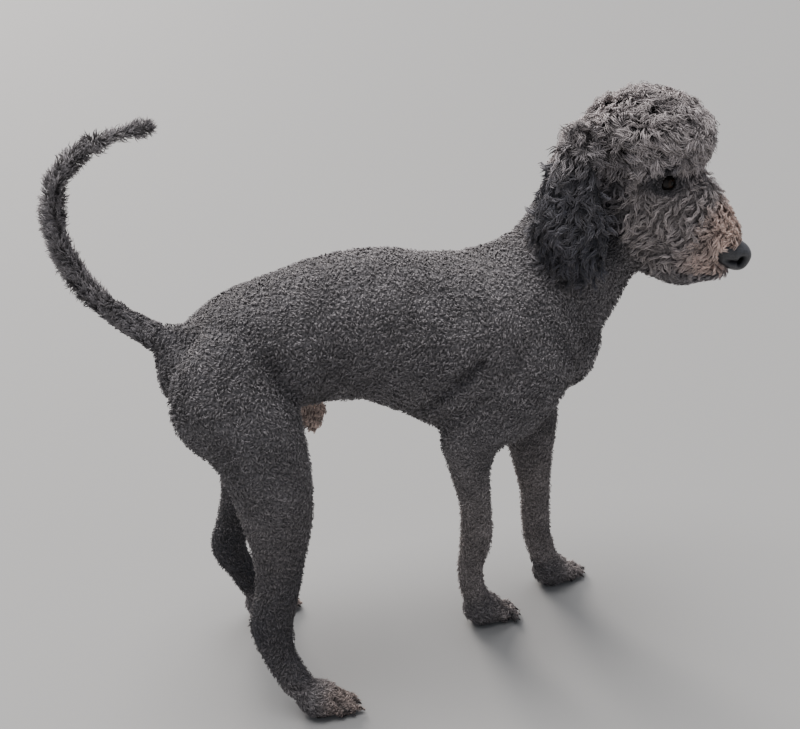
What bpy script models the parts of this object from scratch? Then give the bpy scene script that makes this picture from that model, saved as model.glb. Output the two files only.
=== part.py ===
"""A standing standard poodle in a short lamb clip, life size, as a museum model.

The dog faces +X, its left side is +Y, and it stands on z = 0. All lengths are metres, out to the
tips of the coat. The body is lofted in pieces (trunk, neck, head, tail, legs, paws), the pieces are
fused and smoothed into one form, and thin cuts then part it where a person would name its parts.
"""

import math

import bmesh
import bpy
import numpy as np
from mathutils import Matrix, Vector

# Driving dimensions
FUSE_VOXEL = 0.0045  # grid that fuses the lofted pieces
FUSE_SMOOTHING = 7  # rounds of smoothing that blend the pieces
BODY_TRIANGLES = 3350  # budget of the fused body before it is parted
EAR_TRIANGLES = 360
CUT_GAP = 0.0006  # thickness of the cuts that part the body
CLEARANCE = 0.0004  # gap between a piece and what it lies on
RING_SIDES = 28
STEPS_BETWEEN_STATIONS = 5
FLOOR = 0.0

# Joints of the skeleton that several pieces share
ATLAS = Vector((0.310, 0.0, 0.700))  # where the skull turns on the neck
HEAD_TURN = math.radians(-25.0)  # the head looks a little to the dog's right

# Stations of each form: (x, y, z, half width across, extent on the upper or front side, extent on
# the lower or rear side). Each ring stands square to the path through the stations.
TRUNK = (
    (-0.279, 0.0, 0.510, 0.064, 0.048, 0.068),
    (-0.250, 0.0, 0.507, 0.086, 0.079, 0.090),
    (-0.200, 0.0, 0.512, 0.100, 0.095, 0.092),
    (-0.140, 0.0, 0.525, 0.098, 0.099, 0.096),
    (-0.080, 0.0, 0.533, 0.093, 0.108, 0.104),
    (-0.020, 0.0, 0.528, 0.098, 0.118, 0.105),
    (0.040, 0.0, 0.510, 0.109, 0.124, 0.116),
    (0.100, 0.0, 0.495, 0.116, 0.131, 0.140),
    (0.155, 0.0, 0.487, 0.116, 0.144, 0.148),
    (0.205, 0.0, 0.478, 0.105, 0.144, 0.128),
    (0.240, 0.0, 0.468, 0.088, 0.120, 0.096),
    (0.270, 0.0, 0.454, 0.066, 0.086, 0.064),
)
NECK = (
    (0.165, 0.0, 0.515, 0.094, 0.115, 0.116),
    (0.222, 0.0, 0.558, 0.080, 0.099, 0.129),
    (0.262, 0.0, 0.605, 0.064, 0.079, 0.125),
    (0.290, 0.0, 0.655, 0.056, 0.074, 0.111),
    (0.312, 0.0, 0.712, 0.054, 0.066, 0.070),
    (0.322, 0.0, 0.748, 0.054, 0.062, 0.050),
)
SKULL = (
    (0.312, 0.0, 0.737, 0.060, 0.054, 0.070),
    (0.352, 0.0, 0.712, 0.073, 0.070, 0.086),
    (0.396, 0.0, 0.683, 0.073, 0.076, 0.090),
    (0.432, 0.0, 0.651, 0.063, 0.075, 0.084),
)
TOPKNOT = (
    (0.298, 0.0, 0.768, 0.056, 0.026, 0.050),
    (0.324, 0.0, 0.770, 0.074, 0.055, 0.062),
    (0.366, 0.0, 0.771, 0.081, 0.067, 0.066),
    (0.410, 0.0, 0.769, 0.078, 0.060, 0.058),
    (0.436, 0.0, 0.762, 0.068, 0.047, 0.042),
)
MUZZLE = (
    (0.434, 0.0, 0.640, 0.060, 0.077, 0.086),
    (0.467, 0.0, 0.614, 0.052, 0.066, 0.072),
    (0.491, 0.0, 0.599, 0.046, 0.052, 0.055),
    (0.503, 0.0, 0.592, 0.038, 0.040, 0.040),
)
EAR = (
    (0.306, 0.066, 0.792, 0.016, 0.020, 0.026),
    (0.290, 0.082, 0.755, 0.021, 0.036, 0.038),
    (0.281, 0.092, 0.715, 0.023, 0.051, 0.051),
    (0.281, 0.096, 0.680, 0.023, 0.059, 0.059),
    (0.289, 0.096, 0.645, 0.022, 0.055, 0.055),
    (0.298, 0.094, 0.612, 0.019, 0.041, 0.043),
    (0.303, 0.090, 0.587, 0.014, 0.024, 0.024),
)
TAIL = (
    (-0.262, 0.0, 0.540, 0.034, 0.034, 0.034),
    (-0.305, 0.0, 0.549, 0.024, 0.025, 0.025),
    (-0.342, 0.0, 0.577, 0.0195, 0.020, 0.020),
    (-0.371, 0.0, 0.605, 0.0175, 0.0175, 0.0175),
    (-0.395, 0.0, 0.640, 0.0168, 0.0168, 0.0168),
    (-0.413, 0.0, 0.685, 0.0164, 0.0164, 0.0164),
    (-0.416, 0.0, 0.731, 0.0160, 0.0160, 0.0160),
    (-0.404, 0.0, 0.775, 0.0152, 0.0152, 0.0152),
    (-0.371, 0.0, 0.807, 0.0138, 0.0138, 0.0138),
    (-0.325, 0.0, 0.824, 0.0112, 0.0112, 0.0112),
    (-0.284, 0.0, 0.829, 0.0090, 0.0090, 0.0090),
)
FORELEG_RIGHT = (
    (0.170, -0.066, 0.560, 0.036, 0.048, 0.050),
    (0.200, -0.080, 0.490, 0.040, 0.062, 0.062),
    (0.163, -0.082, 0.430, 0.042, 0.066, 0.070),
    (0.111, -0.076, 0.375, 0.036, 0.047, 0.060),
    (0.103, -0.065, 0.315, 0.029, 0.034, 0.036),
    (0.111, -0.055, 0.255, 0.025, 0.028, 0.028),
    (0.116, -0.046, 0.205, 0.026, 0.028, 0.028),
    (0.116, -0.039, 0.165, 0.027, 0.028, 0.028),
    (0.109, -0.032, 0.120, 0.023, 0.023, 0.024),
    (0.112, -0.027, 0.082, 0.024, 0.023, 0.025),
    (0.122, -0.024, 0.048, 0.025, 0.023, 0.025),
)
FORELEG_LEFT = (
    (0.170, 0.066, 0.560, 0.036, 0.048, 0.050),
    (0.225, 0.080, 0.480, 0.040, 0.083, 0.060),
    (0.224, 0.080, 0.420, 0.042, 0.094, 0.062),
    (0.218, 0.076, 0.370, 0.036, 0.087, 0.054),
    (0.239, 0.066, 0.305, 0.031, 0.058, 0.047),
    (0.246, 0.058, 0.240, 0.027, 0.038, 0.037),
    (0.249, 0.053, 0.180, 0.026, 0.029, 0.029),
    (0.249, 0.050, 0.135, 0.025, 0.028, 0.028),
    (0.252, 0.047, 0.095, 0.024, 0.027, 0.027),
    (0.263, 0.045, 0.055, 0.025, 0.027, 0.026),
)
HINDLEG_RIGHT = (
    (-0.200, -0.056, 0.535, 0.044, 0.066, 0.074),
    (-0.218, -0.080, 0.476, 0.050, 0.082, 0.097),
    (-0.203, -0.092, 0.415, 0.050, 0.071, 0.067),
    (-0.193, -0.101, 0.360, 0.045, 0.063, 0.058),
    (-0.189, -0.107, 0.300, 0.039, 0.053, 0.050),
    (-0.192, -0.112, 0.245, 0.033, 0.040, 0.040),
    (-0.199, -0.116, 0.195, 0.027, 0.034, 0.035),
    (-0.213, -0.121, 0.145, 0.026, 0.033, 0.036),
    (-0.207, -0.131, 0.095, 0.023, 0.027, 0.027),
    (-0.188, -0.143, 0.052, 0.024, 0.026, 0.026),
)
HINDLEG_LEFT = (
    (-0.200, 0.056, 0.535, 0.044, 0.066, 0.074),
    (-0.218, 0.080, 0.470, 0.050, 0.082, 0.097),
    (-0.210, 0.090, 0.415, 0.050, 0.068, 0.071),
    (-0.205, 0.096, 0.360, 0.045, 0.060, 0.058),
    (-0.210, 0.099, 0.300, 0.039, 0.050, 0.049),
    (-0.225, 0.099, 0.245, 0.033, 0.038, 0.038),
    (-0.243, 0.099, 0.195, 0.027, 0.032, 0.032),
    (-0.259, 0.099, 0.147, 0.026, 0.032, 0.032),
    (-0.243, 0.098, 0.100, 0.023, 0.026, 0.027),
    (-0.224, 0.097, 0.058, 0.024, 0.026, 0.026),
)

# Paws: ankle-side centre on the floor, and the way the toes point, in degrees to the dog's left
PAWS = {
    "forepaw_right": ((0.131, -0.023), -2.0),
    "forepaw_left": ((0.276, 0.043), 4.0),
    "hindpaw_right": ((-0.160, -0.152), -12.0),
    "hindpaw_left": ((-0.212, 0.100), 8.0),
}
PAW_HEIGHT = 0.046
TOE_RADIUS = 0.0120
TOE_LENGTH = 0.034
TOE_FAN = (-25.0, -8.5, 8.5, 25.0)  # degrees of each toe from the paw's own line
TOE_REACH = (0.034, 0.043, 0.043, 0.034)  # from the paw's centre to the middle of each toe
CLAW_LENGTH = 0.013

# Features
TEMPLE = (0.380, 0.036, 0.735)  # hair that fills between the topknot and the cheeks
TEMPLE_RADII = (0.062, 0.042, 0.050)
SHEATH_CENTRE = (-0.110, 0.0, 0.405)
SHEATH_RADII = (0.025, 0.013, 0.035)
NOSE_CENTRE = (0.5085, 0.0, 0.6010)
NOSE_RADII = (0.0245, 0.0225, 0.0190)
NOSE_HOLLOW_CENTRE = (0.5180, 0.0, 0.6000)
NOSE_HOLLOW_RADII = (0.0320, 0.0460, 0.0210)
NOSE_TILT = 32.0  # degrees that the nose pad points down
EYE_CENTRE = (0.4080, 0.0500, 0.7140)
EYE_RADIUS = 0.0115
EYE_HOLLOW_CENTRE = (0.4150, 0.0740, 0.7140)
EYE_HOLLOW_RADII = (0.026, 0.021, 0.016)

# Cuts: a point on each, the way it faces, and its two half sizes
LEG_CUT_SLOPE = 0.83
CUTS = {
    "atlas": ((0.300, 0.0, 0.672), (0.78, 0.0, 0.62), (0.130, 0.150)),
    "neck_base": ((0.240, 0.0, 0.567), (0.69, 0.0, 0.72), (0.140, 0.150)),
    "ribs": ((0.020, 0.0, 0.520), (1.0, 0.0, 0.0), (0.150, 0.150)),
    "flank": ((-0.072, 0.0, 0.530), (1.0, 0.0, 0.0), (0.150, 0.150)),
    "dock": ((-0.318, 0.0, 0.557), (-0.80, 0.0, 0.60), (0.045, 0.045)),
    "tail_rise": ((-0.407, 0.0, 0.669), (-0.35, 0.0, 0.94), (0.030, 0.030)),
    "tail_curl": ((-0.400, 0.0, 0.780), (0.42, 0.0, 0.91), (0.030, 0.030)),
    "stop": ((0.455, 0.0, 0.640), (0.80, 0.0, -0.60), (0.100, 0.110)),
    "mouth": ((0.4800, 0.0, 0.5785), (0.16, 0.0, 0.987), (0.090, 0.0785)),
}
LEG_CUTS = {
    "shoulder_right": ((0.135, -0.088, 0.378), -1.0, 0.125),
    "shoulder_left": ((0.231, 0.088, 0.378), 1.0, 0.101),
    "hip_right": ((-0.218, -0.090, 0.452), -1.0, 0.105),
    "hip_left": ((-0.218, 0.090, 0.452), 1.0, 0.105),
}
LEVEL_CUTS = {
    "stifle_right": (-0.194, -0.102, 0.335),
    "stifle_left": (-0.208, 0.098, 0.335),
    "hock_right": (-0.208, -0.118, 0.168),
    "hock_left": (-0.254, 0.104, 0.168),
    "hind_ankle_right": (-0.190, -0.131, 0.056),
    "hind_ankle_left": (-0.212, 0.106, 0.056),
    "carpus_right": (0.121, -0.040, 0.165),
    "carpus_left": (0.249, 0.052, 0.160),
    "fore_ankle_right": (0.122, -0.025, 0.054),
    "fore_ankle_left": (0.263, 0.045, 0.054),
}
LEVEL_CUT_HALF = 0.058
STIFLE_CUT_HALF = 0.068

# How the left ear has slid forward with the turn of the head
LEFT_EAR_SWING = (0.014, -0.008, -0.012)

# Where the middle of each named piece lies
PIECES = {
    "head": (0.360, 0.0, 0.740),
    "muzzle": (0.480, -0.080, 0.610),
    "lower_jaw": (0.450, -0.065, 0.565),
    "neck": (0.275, 0.0, 0.610),
    "chest": (0.130, 0.0, 0.490),
    "loin": (-0.050, 0.0, 0.530),
    "rump": (-0.220, 0.0, 0.520),
    "tail_base": (-0.370, 0.0, 0.605),
    "tail_middle": (-0.414, 0.0, 0.725),
    "tail_tip": (-0.340, 0.0, 0.820),
    "forearm_right": (0.115, -0.062, 0.270),
    "forearm_left": (0.240, 0.065, 0.270),
    "pastern_right": (0.118, -0.033, 0.110),
    "pastern_left": (0.253, 0.048, 0.110),
    "forepaw_right": (0.138, -0.023, 0.025),
    "forepaw_left": (0.285, 0.043, 0.025),
    "thigh_right": (-0.200, -0.095, 0.400),
    "thigh_left": (-0.210, 0.095, 0.400),
    "shank_right": (-0.195, -0.110, 0.250),
    "shank_left": (-0.228, 0.102, 0.250),
    "hock_right": (-0.200, -0.125, 0.110),
    "hock_left": (-0.240, 0.105, 0.110),
    "hindpaw_right": (-0.165, -0.137, 0.025),
    "hindpaw_left": (-0.182, 0.107, 0.025),
}
SMALLEST_PIECE = 2e-6  # cubic metres; anything less is a crumb of a cut

COAT_GREY = (0.060, 0.055, 0.057)
COAT_DARK = (0.028, 0.026, 0.029)
COAT_TAN = (0.145, 0.098, 0.076)
NOSE_LEATHER = (0.012, 0.012, 0.014)
EYE_BROWN = (0.020, 0.010, 0.006)


def material(name, colour, roughness):
    """A plain Principled finish, made once for each name."""
    found = bpy.data.materials.get(name)
    if found:
        return found
    made = bpy.data.materials.new(name)
    made.use_nodes = True
    shader = made.node_tree.nodes["Principled BSDF"]
    shader.inputs["Base Color"].default_value = (*colour, 1.0)
    shader.inputs["Roughness"].default_value = roughness
    shader.inputs["Metallic"].default_value = 0.0
    return made


def between_stations(stations):
    """The stations with a Catmull-Rom curve's rows put between them."""
    rows = np.array(stations, float)
    padded = np.vstack([2 * rows[0] - rows[1], rows, 2 * rows[-1] - rows[-2]])
    before, start, end, after = padded[:-3], padded[1:-2], padded[2:-1], padded[3:]
    share = np.linspace(0.0, 1.0, STEPS_BETWEEN_STATIONS, endpoint=False)[:, None, None]
    curve = 0.5 * (
        2 * start
        + (end - before) * share
        + (2 * before - 5 * start + 4 * end - after) * share**2
        + (3 * start - before - 3 * end + after) * share**3
    )
    return np.vstack([curve.transpose(1, 0, 2).reshape(-1, rows.shape[1]), rows[-1:]])


def ring_points(centre, along, across, width, upper, lower, squareness):
    """One closed ring round a path: half width across, and its own extent on each of the two sides."""
    upward = along.cross(across).normalized()
    angles = np.linspace(0.0, 2.0 * math.pi, RING_SIDES, endpoint=False)
    cosines, sines = np.cos(angles), np.sin(angles)
    sideways = np.sign(cosines) * np.abs(cosines) ** squareness * width
    extent = np.where(sines > 0.0, upper, lower)
    upwards = np.sign(sines) * np.abs(sines) ** squareness * extent
    return [centre + across * a + upward * b for a, b in zip(sideways, upwards)]


def loft(name, stations, squareness=1.0, round_ends=0.8):
    """A closed tube through the stations, with domed ends, as a mesh object."""
    rows = between_stations(stations)
    centres = [Vector(row[:3]) for row in rows]
    tangents = [
        (centres[min(i + 1, len(rows) - 1)] - centres[max(i - 1, 0)]).normalized()
        for i in range(len(rows))
    ]
    rings = []
    for row, centre, along in zip(rows, centres, tangents):
        across = Vector((0.0, 1.0, 0.0))
        across = (across - along * across.dot(along)).normalized()
        rings.append((centre, along, across, *row[3:]))

    def dome(ring, outward):
        """Rings that close one end over, and the pole."""
        centre, along, across, width, upper, lower = ring
        reach = round_ends * min(width, (upper + lower) / 2)
        made = []
        for angle in (28.0, 56.0, 76.0):
            shrink, push = math.cos(math.radians(angle)), math.sin(math.radians(angle))
            spot = centre + along * (outward * push * reach)
            made.append((spot, along, across, width * shrink, upper * shrink, lower * shrink))
        return made, centre + along * (outward * reach)

    start, first_pole = dome(rings[0], -1.0)
    end, last_pole = dome(rings[-1], 1.0)
    mesh = bmesh.new()
    loops = [
        [mesh.verts.new(p) for p in ring_points(*ring, squareness)]
        for ring in start[::-1] + rings + end
    ]
    for low, high in zip(loops, loops[1:]):
        for i in range(RING_SIDES):
            j = (i + 1) % RING_SIDES
            mesh.faces.new((low[i], low[j], high[j], high[i]))
    for pole, loop in ((first_pole, loops[0]), (last_pole, loops[-1])):
        tip = mesh.verts.new(pole)
        for i in range(RING_SIDES):
            mesh.faces.new((loop[i], loop[(i + 1) % RING_SIDES], tip))
    bmesh.ops.recalc_face_normals(mesh, faces=mesh.faces)
    return object_from(name, mesh)


def object_from(name, mesh):
    data = bpy.data.meshes.new(name)
    mesh.to_mesh(data)
    mesh.free()
    made = bpy.data.objects.new(name, data)
    DOG.objects.link(made)
    return made


def ellipsoid(name, centre, radii, turn=None):
    """A UV sphere stretched to three radii, turned about its centre."""
    mesh = bmesh.new()
    bmesh.ops.create_uvsphere(mesh, u_segments=16, v_segments=10, radius=1.0)
    place = Matrix.Translation(centre) @ (turn or Matrix.Identity(4)) @ Matrix.Diagonal((*radii, 1.0))
    bmesh.ops.transform(mesh, matrix=place, verts=mesh.verts)
    return object_from(name, mesh)


def mirrored(stations):
    """The same stations on the dog's other side."""
    return tuple((x, -y, *rest) for x, y, *rest in stations)


def head_matrix():
    """Turns what is built straight ahead to where the dog looks."""
    return Matrix.Translation(ATLAS) @ Matrix.Rotation(HEAD_TURN, 4, "Z") @ Matrix.Translation(-ATLAS)


def turn_with_head(pieces):
    for piece in pieces:
        piece.data.transform(head_matrix())
    return pieces


def make_paw(name, spot, heading):
    """The paw's body with four arched toes, each ending in a short claw."""
    x, y = spot
    turn = Matrix.Rotation(math.radians(heading), 4, "Z")
    pieces = [
        ellipsoid(name + "_body", (x, y, 0.026), (0.038, 0.030, 0.029), turn),
        ellipsoid(name + "_pad", (x, y, 0.010), (0.026, 0.024, 0.015), turn),
    ]
    for number, (fan, reach) in enumerate(zip(TOE_FAN, TOE_REACH)):
        angle = math.radians(heading + fan)
        way = Vector((math.cos(angle), math.sin(angle), 0.0))
        middle = Vector((x, y, 0.0138)) + way * reach
        slope = Matrix.Rotation(angle, 4, "Z") @ Matrix.Rotation(math.radians(16.0), 4, "Y")
        radii = (TOE_LENGTH / 2, TOE_RADIUS, 0.0150)
        pieces.append(ellipsoid(f"{name}_toe_{number}", middle, radii, slope))
        tip = middle + way * (TOE_LENGTH / 2 + CLAW_LENGTH * 0.15) - Vector((0, 0, 0.0042))
        claw = (CLAW_LENGTH / 2, 0.0034, 0.0042)
        pieces.append(ellipsoid(f"{name}_claw_{number}", tip, claw, slope))
    return pieces


def fuse(name, pieces, triangles, smoothing=FUSE_SMOOTHING):
    """One closed, smoothed form from overlapping pieces, thinned to a number of triangles."""
    mesh = bmesh.new()
    for piece in pieces:
        mesh.from_mesh(piece.data)
        bpy.data.objects.remove(piece)
    whole = object_from(name, mesh)
    remesh = whole.modifiers.new("fuse", "REMESH")
    remesh.mode = "VOXEL"
    remesh.voxel_size = FUSE_VOXEL
    smooth = whole.modifiers.new("blend", "SMOOTH")
    smooth.factor = 0.5
    smooth.iterations = smoothing
    bake_modifiers(whole)
    whole.data.calc_loop_triangles()
    thin = whole.modifiers.new("thin", "DECIMATE")
    thin.ratio = min(1.0, triangles / len(whole.data.loop_triangles))
    bake_modifiers(whole)
    return whole


def bake_modifiers(piece):
    """Replaces the object's mesh with its evaluated one."""
    graph = bpy.context.evaluated_depsgraph_get()
    graph.update()
    made = bpy.data.meshes.new_from_object(piece.evaluated_get(graph))
    piece.modifiers.clear()
    piece.data = made


def hide_as_cutter(piece):
    """Moves a cutter out of what is shown."""
    DOG.objects.unlink(piece)
    CUTTERS.objects.link(piece)
    piece.hide_render = True
    piece.display_type = "WIRE"


def slab(name, centre, normal, half_sizes):
    """A thin box that parts what it crosses: square to the normal, with two half sizes."""
    mesh = bmesh.new()
    bmesh.ops.create_cube(mesh, size=2.0)
    thickness = CUT_GAP / 2
    scale = Matrix.Diagonal((half_sizes[0], half_sizes[1], thickness, 1.0))
    turn = Vector(normal).to_track_quat("Z", "Y").to_matrix().to_4x4()
    bmesh.ops.transform(mesh, matrix=Matrix.Translation(centre) @ turn @ scale, verts=mesh.verts)
    made = object_from(name, mesh)
    hide_as_cutter(made)
    return made


def cut_away(piece, cutter):
    """Takes the cutter's shape out of a piece."""
    cut = piece.modifiers.new("cut", "BOOLEAN")
    cut.operation = "DIFFERENCE"
    cut.object = cutter
    bake_modifiers(piece)


def inflated_copy(piece, distance):
    """A cutter a little larger than the piece, so that what it cuts keeps clear of it."""
    made = piece.copy()
    made.data = piece.data.copy()
    made.name = piece.name + "_clearance"
    DOG.objects.link(made)
    hide_as_cutter(made)
    mesh = bmesh.new()
    mesh.from_mesh(made.data)
    mesh.normal_update()
    for vertex in mesh.verts:
        vertex.co += vertex.normal * distance
    mesh.to_mesh(made.data)
    mesh.free()
    return made


def loose_parts(piece):
    """The separate bodies of a mesh, each as its own bmesh."""
    mesh = bmesh.new()
    mesh.from_mesh(piece.data)
    bmesh.ops.remove_doubles(mesh, verts=mesh.verts, dist=1e-6)
    todo = set(mesh.verts)
    found = []
    while todo:
        body, front = set(), [todo.pop()]
        while front:
            vertex = front.pop()
            if vertex in body:
                continue
            body.add(vertex)
            front.extend(edge.other_vert(vertex) for edge in vertex.link_edges)
        todo -= body
        copy = bmesh.new()
        twins = {vertex: copy.verts.new(vertex.co) for vertex in body}
        for face in {face for vertex in body for face in vertex.link_faces}:
            copy.faces.new([twins[vertex] for vertex in face.verts])
        found.append(copy)
    mesh.free()
    return found


def main_body():
    """Every fleshed form but the ears, fused, with the soles cut flat."""
    head = turn_with_head(
        [
            loft("skull", SKULL, squareness=0.88),
            loft("topknot", TOPKNOT),
            loft("muzzle", MUZZLE, squareness=0.9, round_ends=0.45),
            ellipsoid("brow_right", (TEMPLE[0], -TEMPLE[1], TEMPLE[2]), TEMPLE_RADII),
            ellipsoid("brow_left", TEMPLE, TEMPLE_RADII),
        ]
    )
    legs = [
        loft("foreleg_right", FORELEG_RIGHT),
        loft("foreleg_left", FORELEG_LEFT),
        loft("hindleg_right", HINDLEG_RIGHT),
        loft("hindleg_left", HINDLEG_LEFT),
    ]
    paws = [piece for name, (spot, way) in PAWS.items() for piece in make_paw(name, spot, way)]
    torso = [
        loft("trunk", TRUNK, squareness=0.94),
        loft("neck", NECK),
        loft("tail", TAIL),
        ellipsoid("sheath", SHEATH_CENTRE, SHEATH_RADII),
    ]
    body = fuse("body", torso + head + legs + paws, BODY_TRIANGLES)
    floor = bmesh.new()
    bmesh.ops.create_cube(floor, size=2.0)
    bmesh.ops.translate(floor, vec=(0, 0, FLOOR - 1.0), verts=floor.verts)
    below = object_from("below_floor", floor)
    hide_as_cutter(below)
    cut_away(body, below)
    return body


def biggest_body(piece):
    """Keeps the largest of a mesh's separate bodies."""
    bodies = sorted(loose_parts(piece), key=lambda body: body.calc_volume())
    bodies[-1].to_mesh(piece.data)
    for body in bodies:
        body.free()


def part_the_body(body):
    """Makes the thin cuts, and names each piece after the nearest of the middles."""
    cutters = [
        slab(name + "_cut", *place)
        for name, place in CUTS.items()
        if name not in ("stop", "mouth")
    ]
    for name, (spot, side, reach) in LEG_CUTS.items():
        cutters.append(slab(name + "_cut", spot, (0.0, -side * LEG_CUT_SLOPE, 1.0), (reach, 0.098)))
    for name, spot in LEVEL_CUTS.items():
        half = STIFLE_CUT_HALF if name.startswith("stifle") else LEVEL_CUT_HALF
        cutters.append(slab(name + "_cut", spot, (0.0, 0.0, 1.0), (half, half)))
    cutters += turn_with_head([slab(name + "_cut", *CUTS[name]) for name in ("stop", "mouth")])
    for cutter in cutters:
        cut_away(body, cutter)
    found = {}
    for part in loose_parts(body):
        if part.calc_volume() < SMALLEST_PIECE:
            continue
        middle = sum((vertex.co for vertex in part.verts), Vector()) / len(part.verts)
        name = min(PIECES, key=lambda key: (Vector(PIECES[key]) - middle).length)
        if name in found:
            raise ValueError(f"two pieces would be called {name}: {tuple(middle)}")
        found[name] = object_from(name, part)
    missing = set(PIECES) - set(found)
    if missing:
        raise ValueError(f"no piece for {sorted(missing)}")
    bpy.data.objects.remove(body)
    return found


def make_ears(body):
    """Two hanging ears, lying close over the sides of the head and neck."""
    keep_clear = inflated_copy(body, CLEARANCE)
    ears = {}
    for name, stations in (("ear_right", mirrored(EAR)), ("ear_left", EAR)):
        lofted = [loft(name, stations)]
        if name == "ear_left":
            lofted[0].data.transform(Matrix.Translation(LEFT_EAR_SWING))
        turn_with_head(lofted)
        ear = fuse(name, lofted, EAR_TRIANGLES, smoothing=3)
        cut_away(ear, keep_clear)
        biggest_body(ear)
        ears[name] = ear
    return ears


def make_eyes_and_nose(body):
    """The eyes in their sockets under the brows and the nose pad at the muzzle's end."""
    made = {}
    for name, side in (("eye_right", -1.0), ("eye_left", 1.0)):
        x, y, z = EYE_HOLLOW_CENTRE
        hollow = ellipsoid(name + "_hollow", (x, side * y, z), EYE_HOLLOW_RADII)
        x, y, z = EYE_CENTRE
        eye = ellipsoid(name, (x, side * y, z), (EYE_RADIUS,) * 3)
        turn_with_head([hollow, eye])
        hide_as_cutter(hollow)
        cut_away(body, hollow)
        cut_away(body, inflated_copy(eye, CLEARANCE))
        made[name] = eye
    tilt = Matrix.Rotation(math.radians(NOSE_TILT), 4, "Y")
    nose = ellipsoid("nose", NOSE_CENTRE, NOSE_RADII, tilt)
    hollow = ellipsoid("nose_hollow", NOSE_HOLLOW_CENTRE, NOSE_HOLLOW_RADII)
    turn_with_head([nose, hollow])
    hide_as_cutter(hollow)
    cut_away(body, hollow)
    cut_away(body, inflated_copy(nose, CLEARANCE))
    made["nose"] = nose
    return made


def finish(pieces):
    """Gives every piece its colour and stands the dog on the middle of its own outline."""
    coats = {"ear_right": "coat_dark", "ear_left": "coat_dark", "nose": "nose_leather"}
    coats.update({"eye_right": "eye", "eye_left": "eye", "muzzle": "coat_tan"})
    coats.update({"lower_jaw": "coat_tan"})
    coats.update({name: "coat_tan" for name in PAWS})
    finishes = {
        "coat_grey": material("coat_grey", COAT_GREY, 0.9),
        "coat_dark": material("coat_dark", COAT_DARK, 0.9),
        "coat_tan": material("coat_tan", COAT_TAN, 0.9),
        "nose_leather": material("nose_leather", NOSE_LEATHER, 0.45),
        "eye": material("eye", EYE_BROWN, 0.12),
    }
    corners = np.array([v.co for piece in pieces.values() for v in piece.data.vertices])
    low, high = corners.min(axis=0), corners.max(axis=0)
    shift = Matrix.Translation((-(low[0] + high[0]) / 2, -(low[1] + high[1]) / 2, -low[2]))
    for name, piece in pieces.items():
        piece.data.transform(shift)
        piece.data.materials.clear()
        piece.data.materials.append(finishes[coats.get(name, "coat_grey")])
        for face in piece.data.polygons:
            face.material_index = 0
            face.use_smooth = False


for old in list(bpy.data.objects):
    bpy.data.objects.remove(old)
DOG = bpy.data.collections.new("dog")
CUTTERS = bpy.data.collections.new("cutters")
bpy.context.scene.collection.children.link(DOG)
bpy.context.scene.collection.children.link(CUTTERS)

whole_body = main_body()
features = make_eyes_and_nose(whole_body)
features.update(make_ears(whole_body))
features.update(part_the_body(whole_body))
finish(features)
CUTTERS.hide_render = True
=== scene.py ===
import math

import bmesh
import bpy
import numpy as np
from mathutils import Matrix, Vector


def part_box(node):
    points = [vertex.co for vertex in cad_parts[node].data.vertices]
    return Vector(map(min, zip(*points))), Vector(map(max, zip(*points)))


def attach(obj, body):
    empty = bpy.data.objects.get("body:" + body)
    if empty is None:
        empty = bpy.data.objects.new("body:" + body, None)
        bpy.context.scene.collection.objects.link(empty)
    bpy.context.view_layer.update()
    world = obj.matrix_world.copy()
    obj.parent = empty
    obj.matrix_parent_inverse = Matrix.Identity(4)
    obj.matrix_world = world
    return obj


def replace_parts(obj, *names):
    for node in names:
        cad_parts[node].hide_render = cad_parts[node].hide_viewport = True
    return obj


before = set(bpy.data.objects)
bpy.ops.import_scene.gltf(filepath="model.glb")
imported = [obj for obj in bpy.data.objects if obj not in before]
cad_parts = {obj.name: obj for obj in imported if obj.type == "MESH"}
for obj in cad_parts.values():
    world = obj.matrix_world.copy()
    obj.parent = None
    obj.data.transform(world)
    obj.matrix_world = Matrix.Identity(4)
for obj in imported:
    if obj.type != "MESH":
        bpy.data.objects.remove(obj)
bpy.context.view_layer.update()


# ----------------------------------------------------------------------------
# The skin. One closed hide covers head, neck, trunk, legs, paws, tail and ears without a seam. It stands for
# every solid of flesh and lies inside it by the depth of the coat that grows there. Where it is bare, on the
# lids, lips and soles, it is dark leather.

APART = ("nose", "eye_right", "eye_left")
FLESH = [name for name in sorted(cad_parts) if name not in APART]
SKIN_GRAIN = 0.0045
FINE_RADII = (0.024, 0.018)  # round each eye, where the grid is twice and four times as fine

# For each kind of coat: depth over the skin, length and width of a hair strand, tilt from upright at its root
# and at its tip, sideways wave and full turn of its curl, how many waves it holds, and the radius of a clump.
COAT_FIELDS = ("depth", "length", "width", "rise", "fall", "wave", "lift", "spin", "waves", "clump")
COAT = {
    "trunk": (0.0055, 0.0078, 0.0023, 24, 148, 20, 0, 45, 0.8, 0.0028),
    "neck": (0.0055, 0.0078, 0.0023, 24, 148, 20, 0, 45, 0.8, 0.0028),
    "leg": (0.0042, 0.0064, 0.0020, 34, 152, 20, 0, 45, 0.8, 0.0028),
    "foot": (0.0034, 0.0068, 0.0019, 42, 125, 30, 0, 45, 0.8, 0.0020),
    "tail": (0.0075, 0.0150, 0.0015, 40, 92, 30, 0, 30, 1.0, 0.0020),
    "ear": (0.0115, 0.0290, 0.0021, 70, 96, 36, 11, 20, 1.7, 0.0040),
    "topknot": (0.0180, 0.0360, 0.0022, 38, 108, 42, 32, 60, 1.5, 0.0048),
    "cheek": (0.0085, 0.0210, 0.0018, 58, 97, 30, 14, 20, 1.3, 0.0030),
    "muzzle": (0.0080, 0.0170, 0.0017, 52, 98, 34, 14, 25, 1.2, 0.0028),
    "jaw": (0.0060, 0.0130, 0.0017, 52, 94, 30, 0, 20, 1.0, 0.0028),
}
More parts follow.
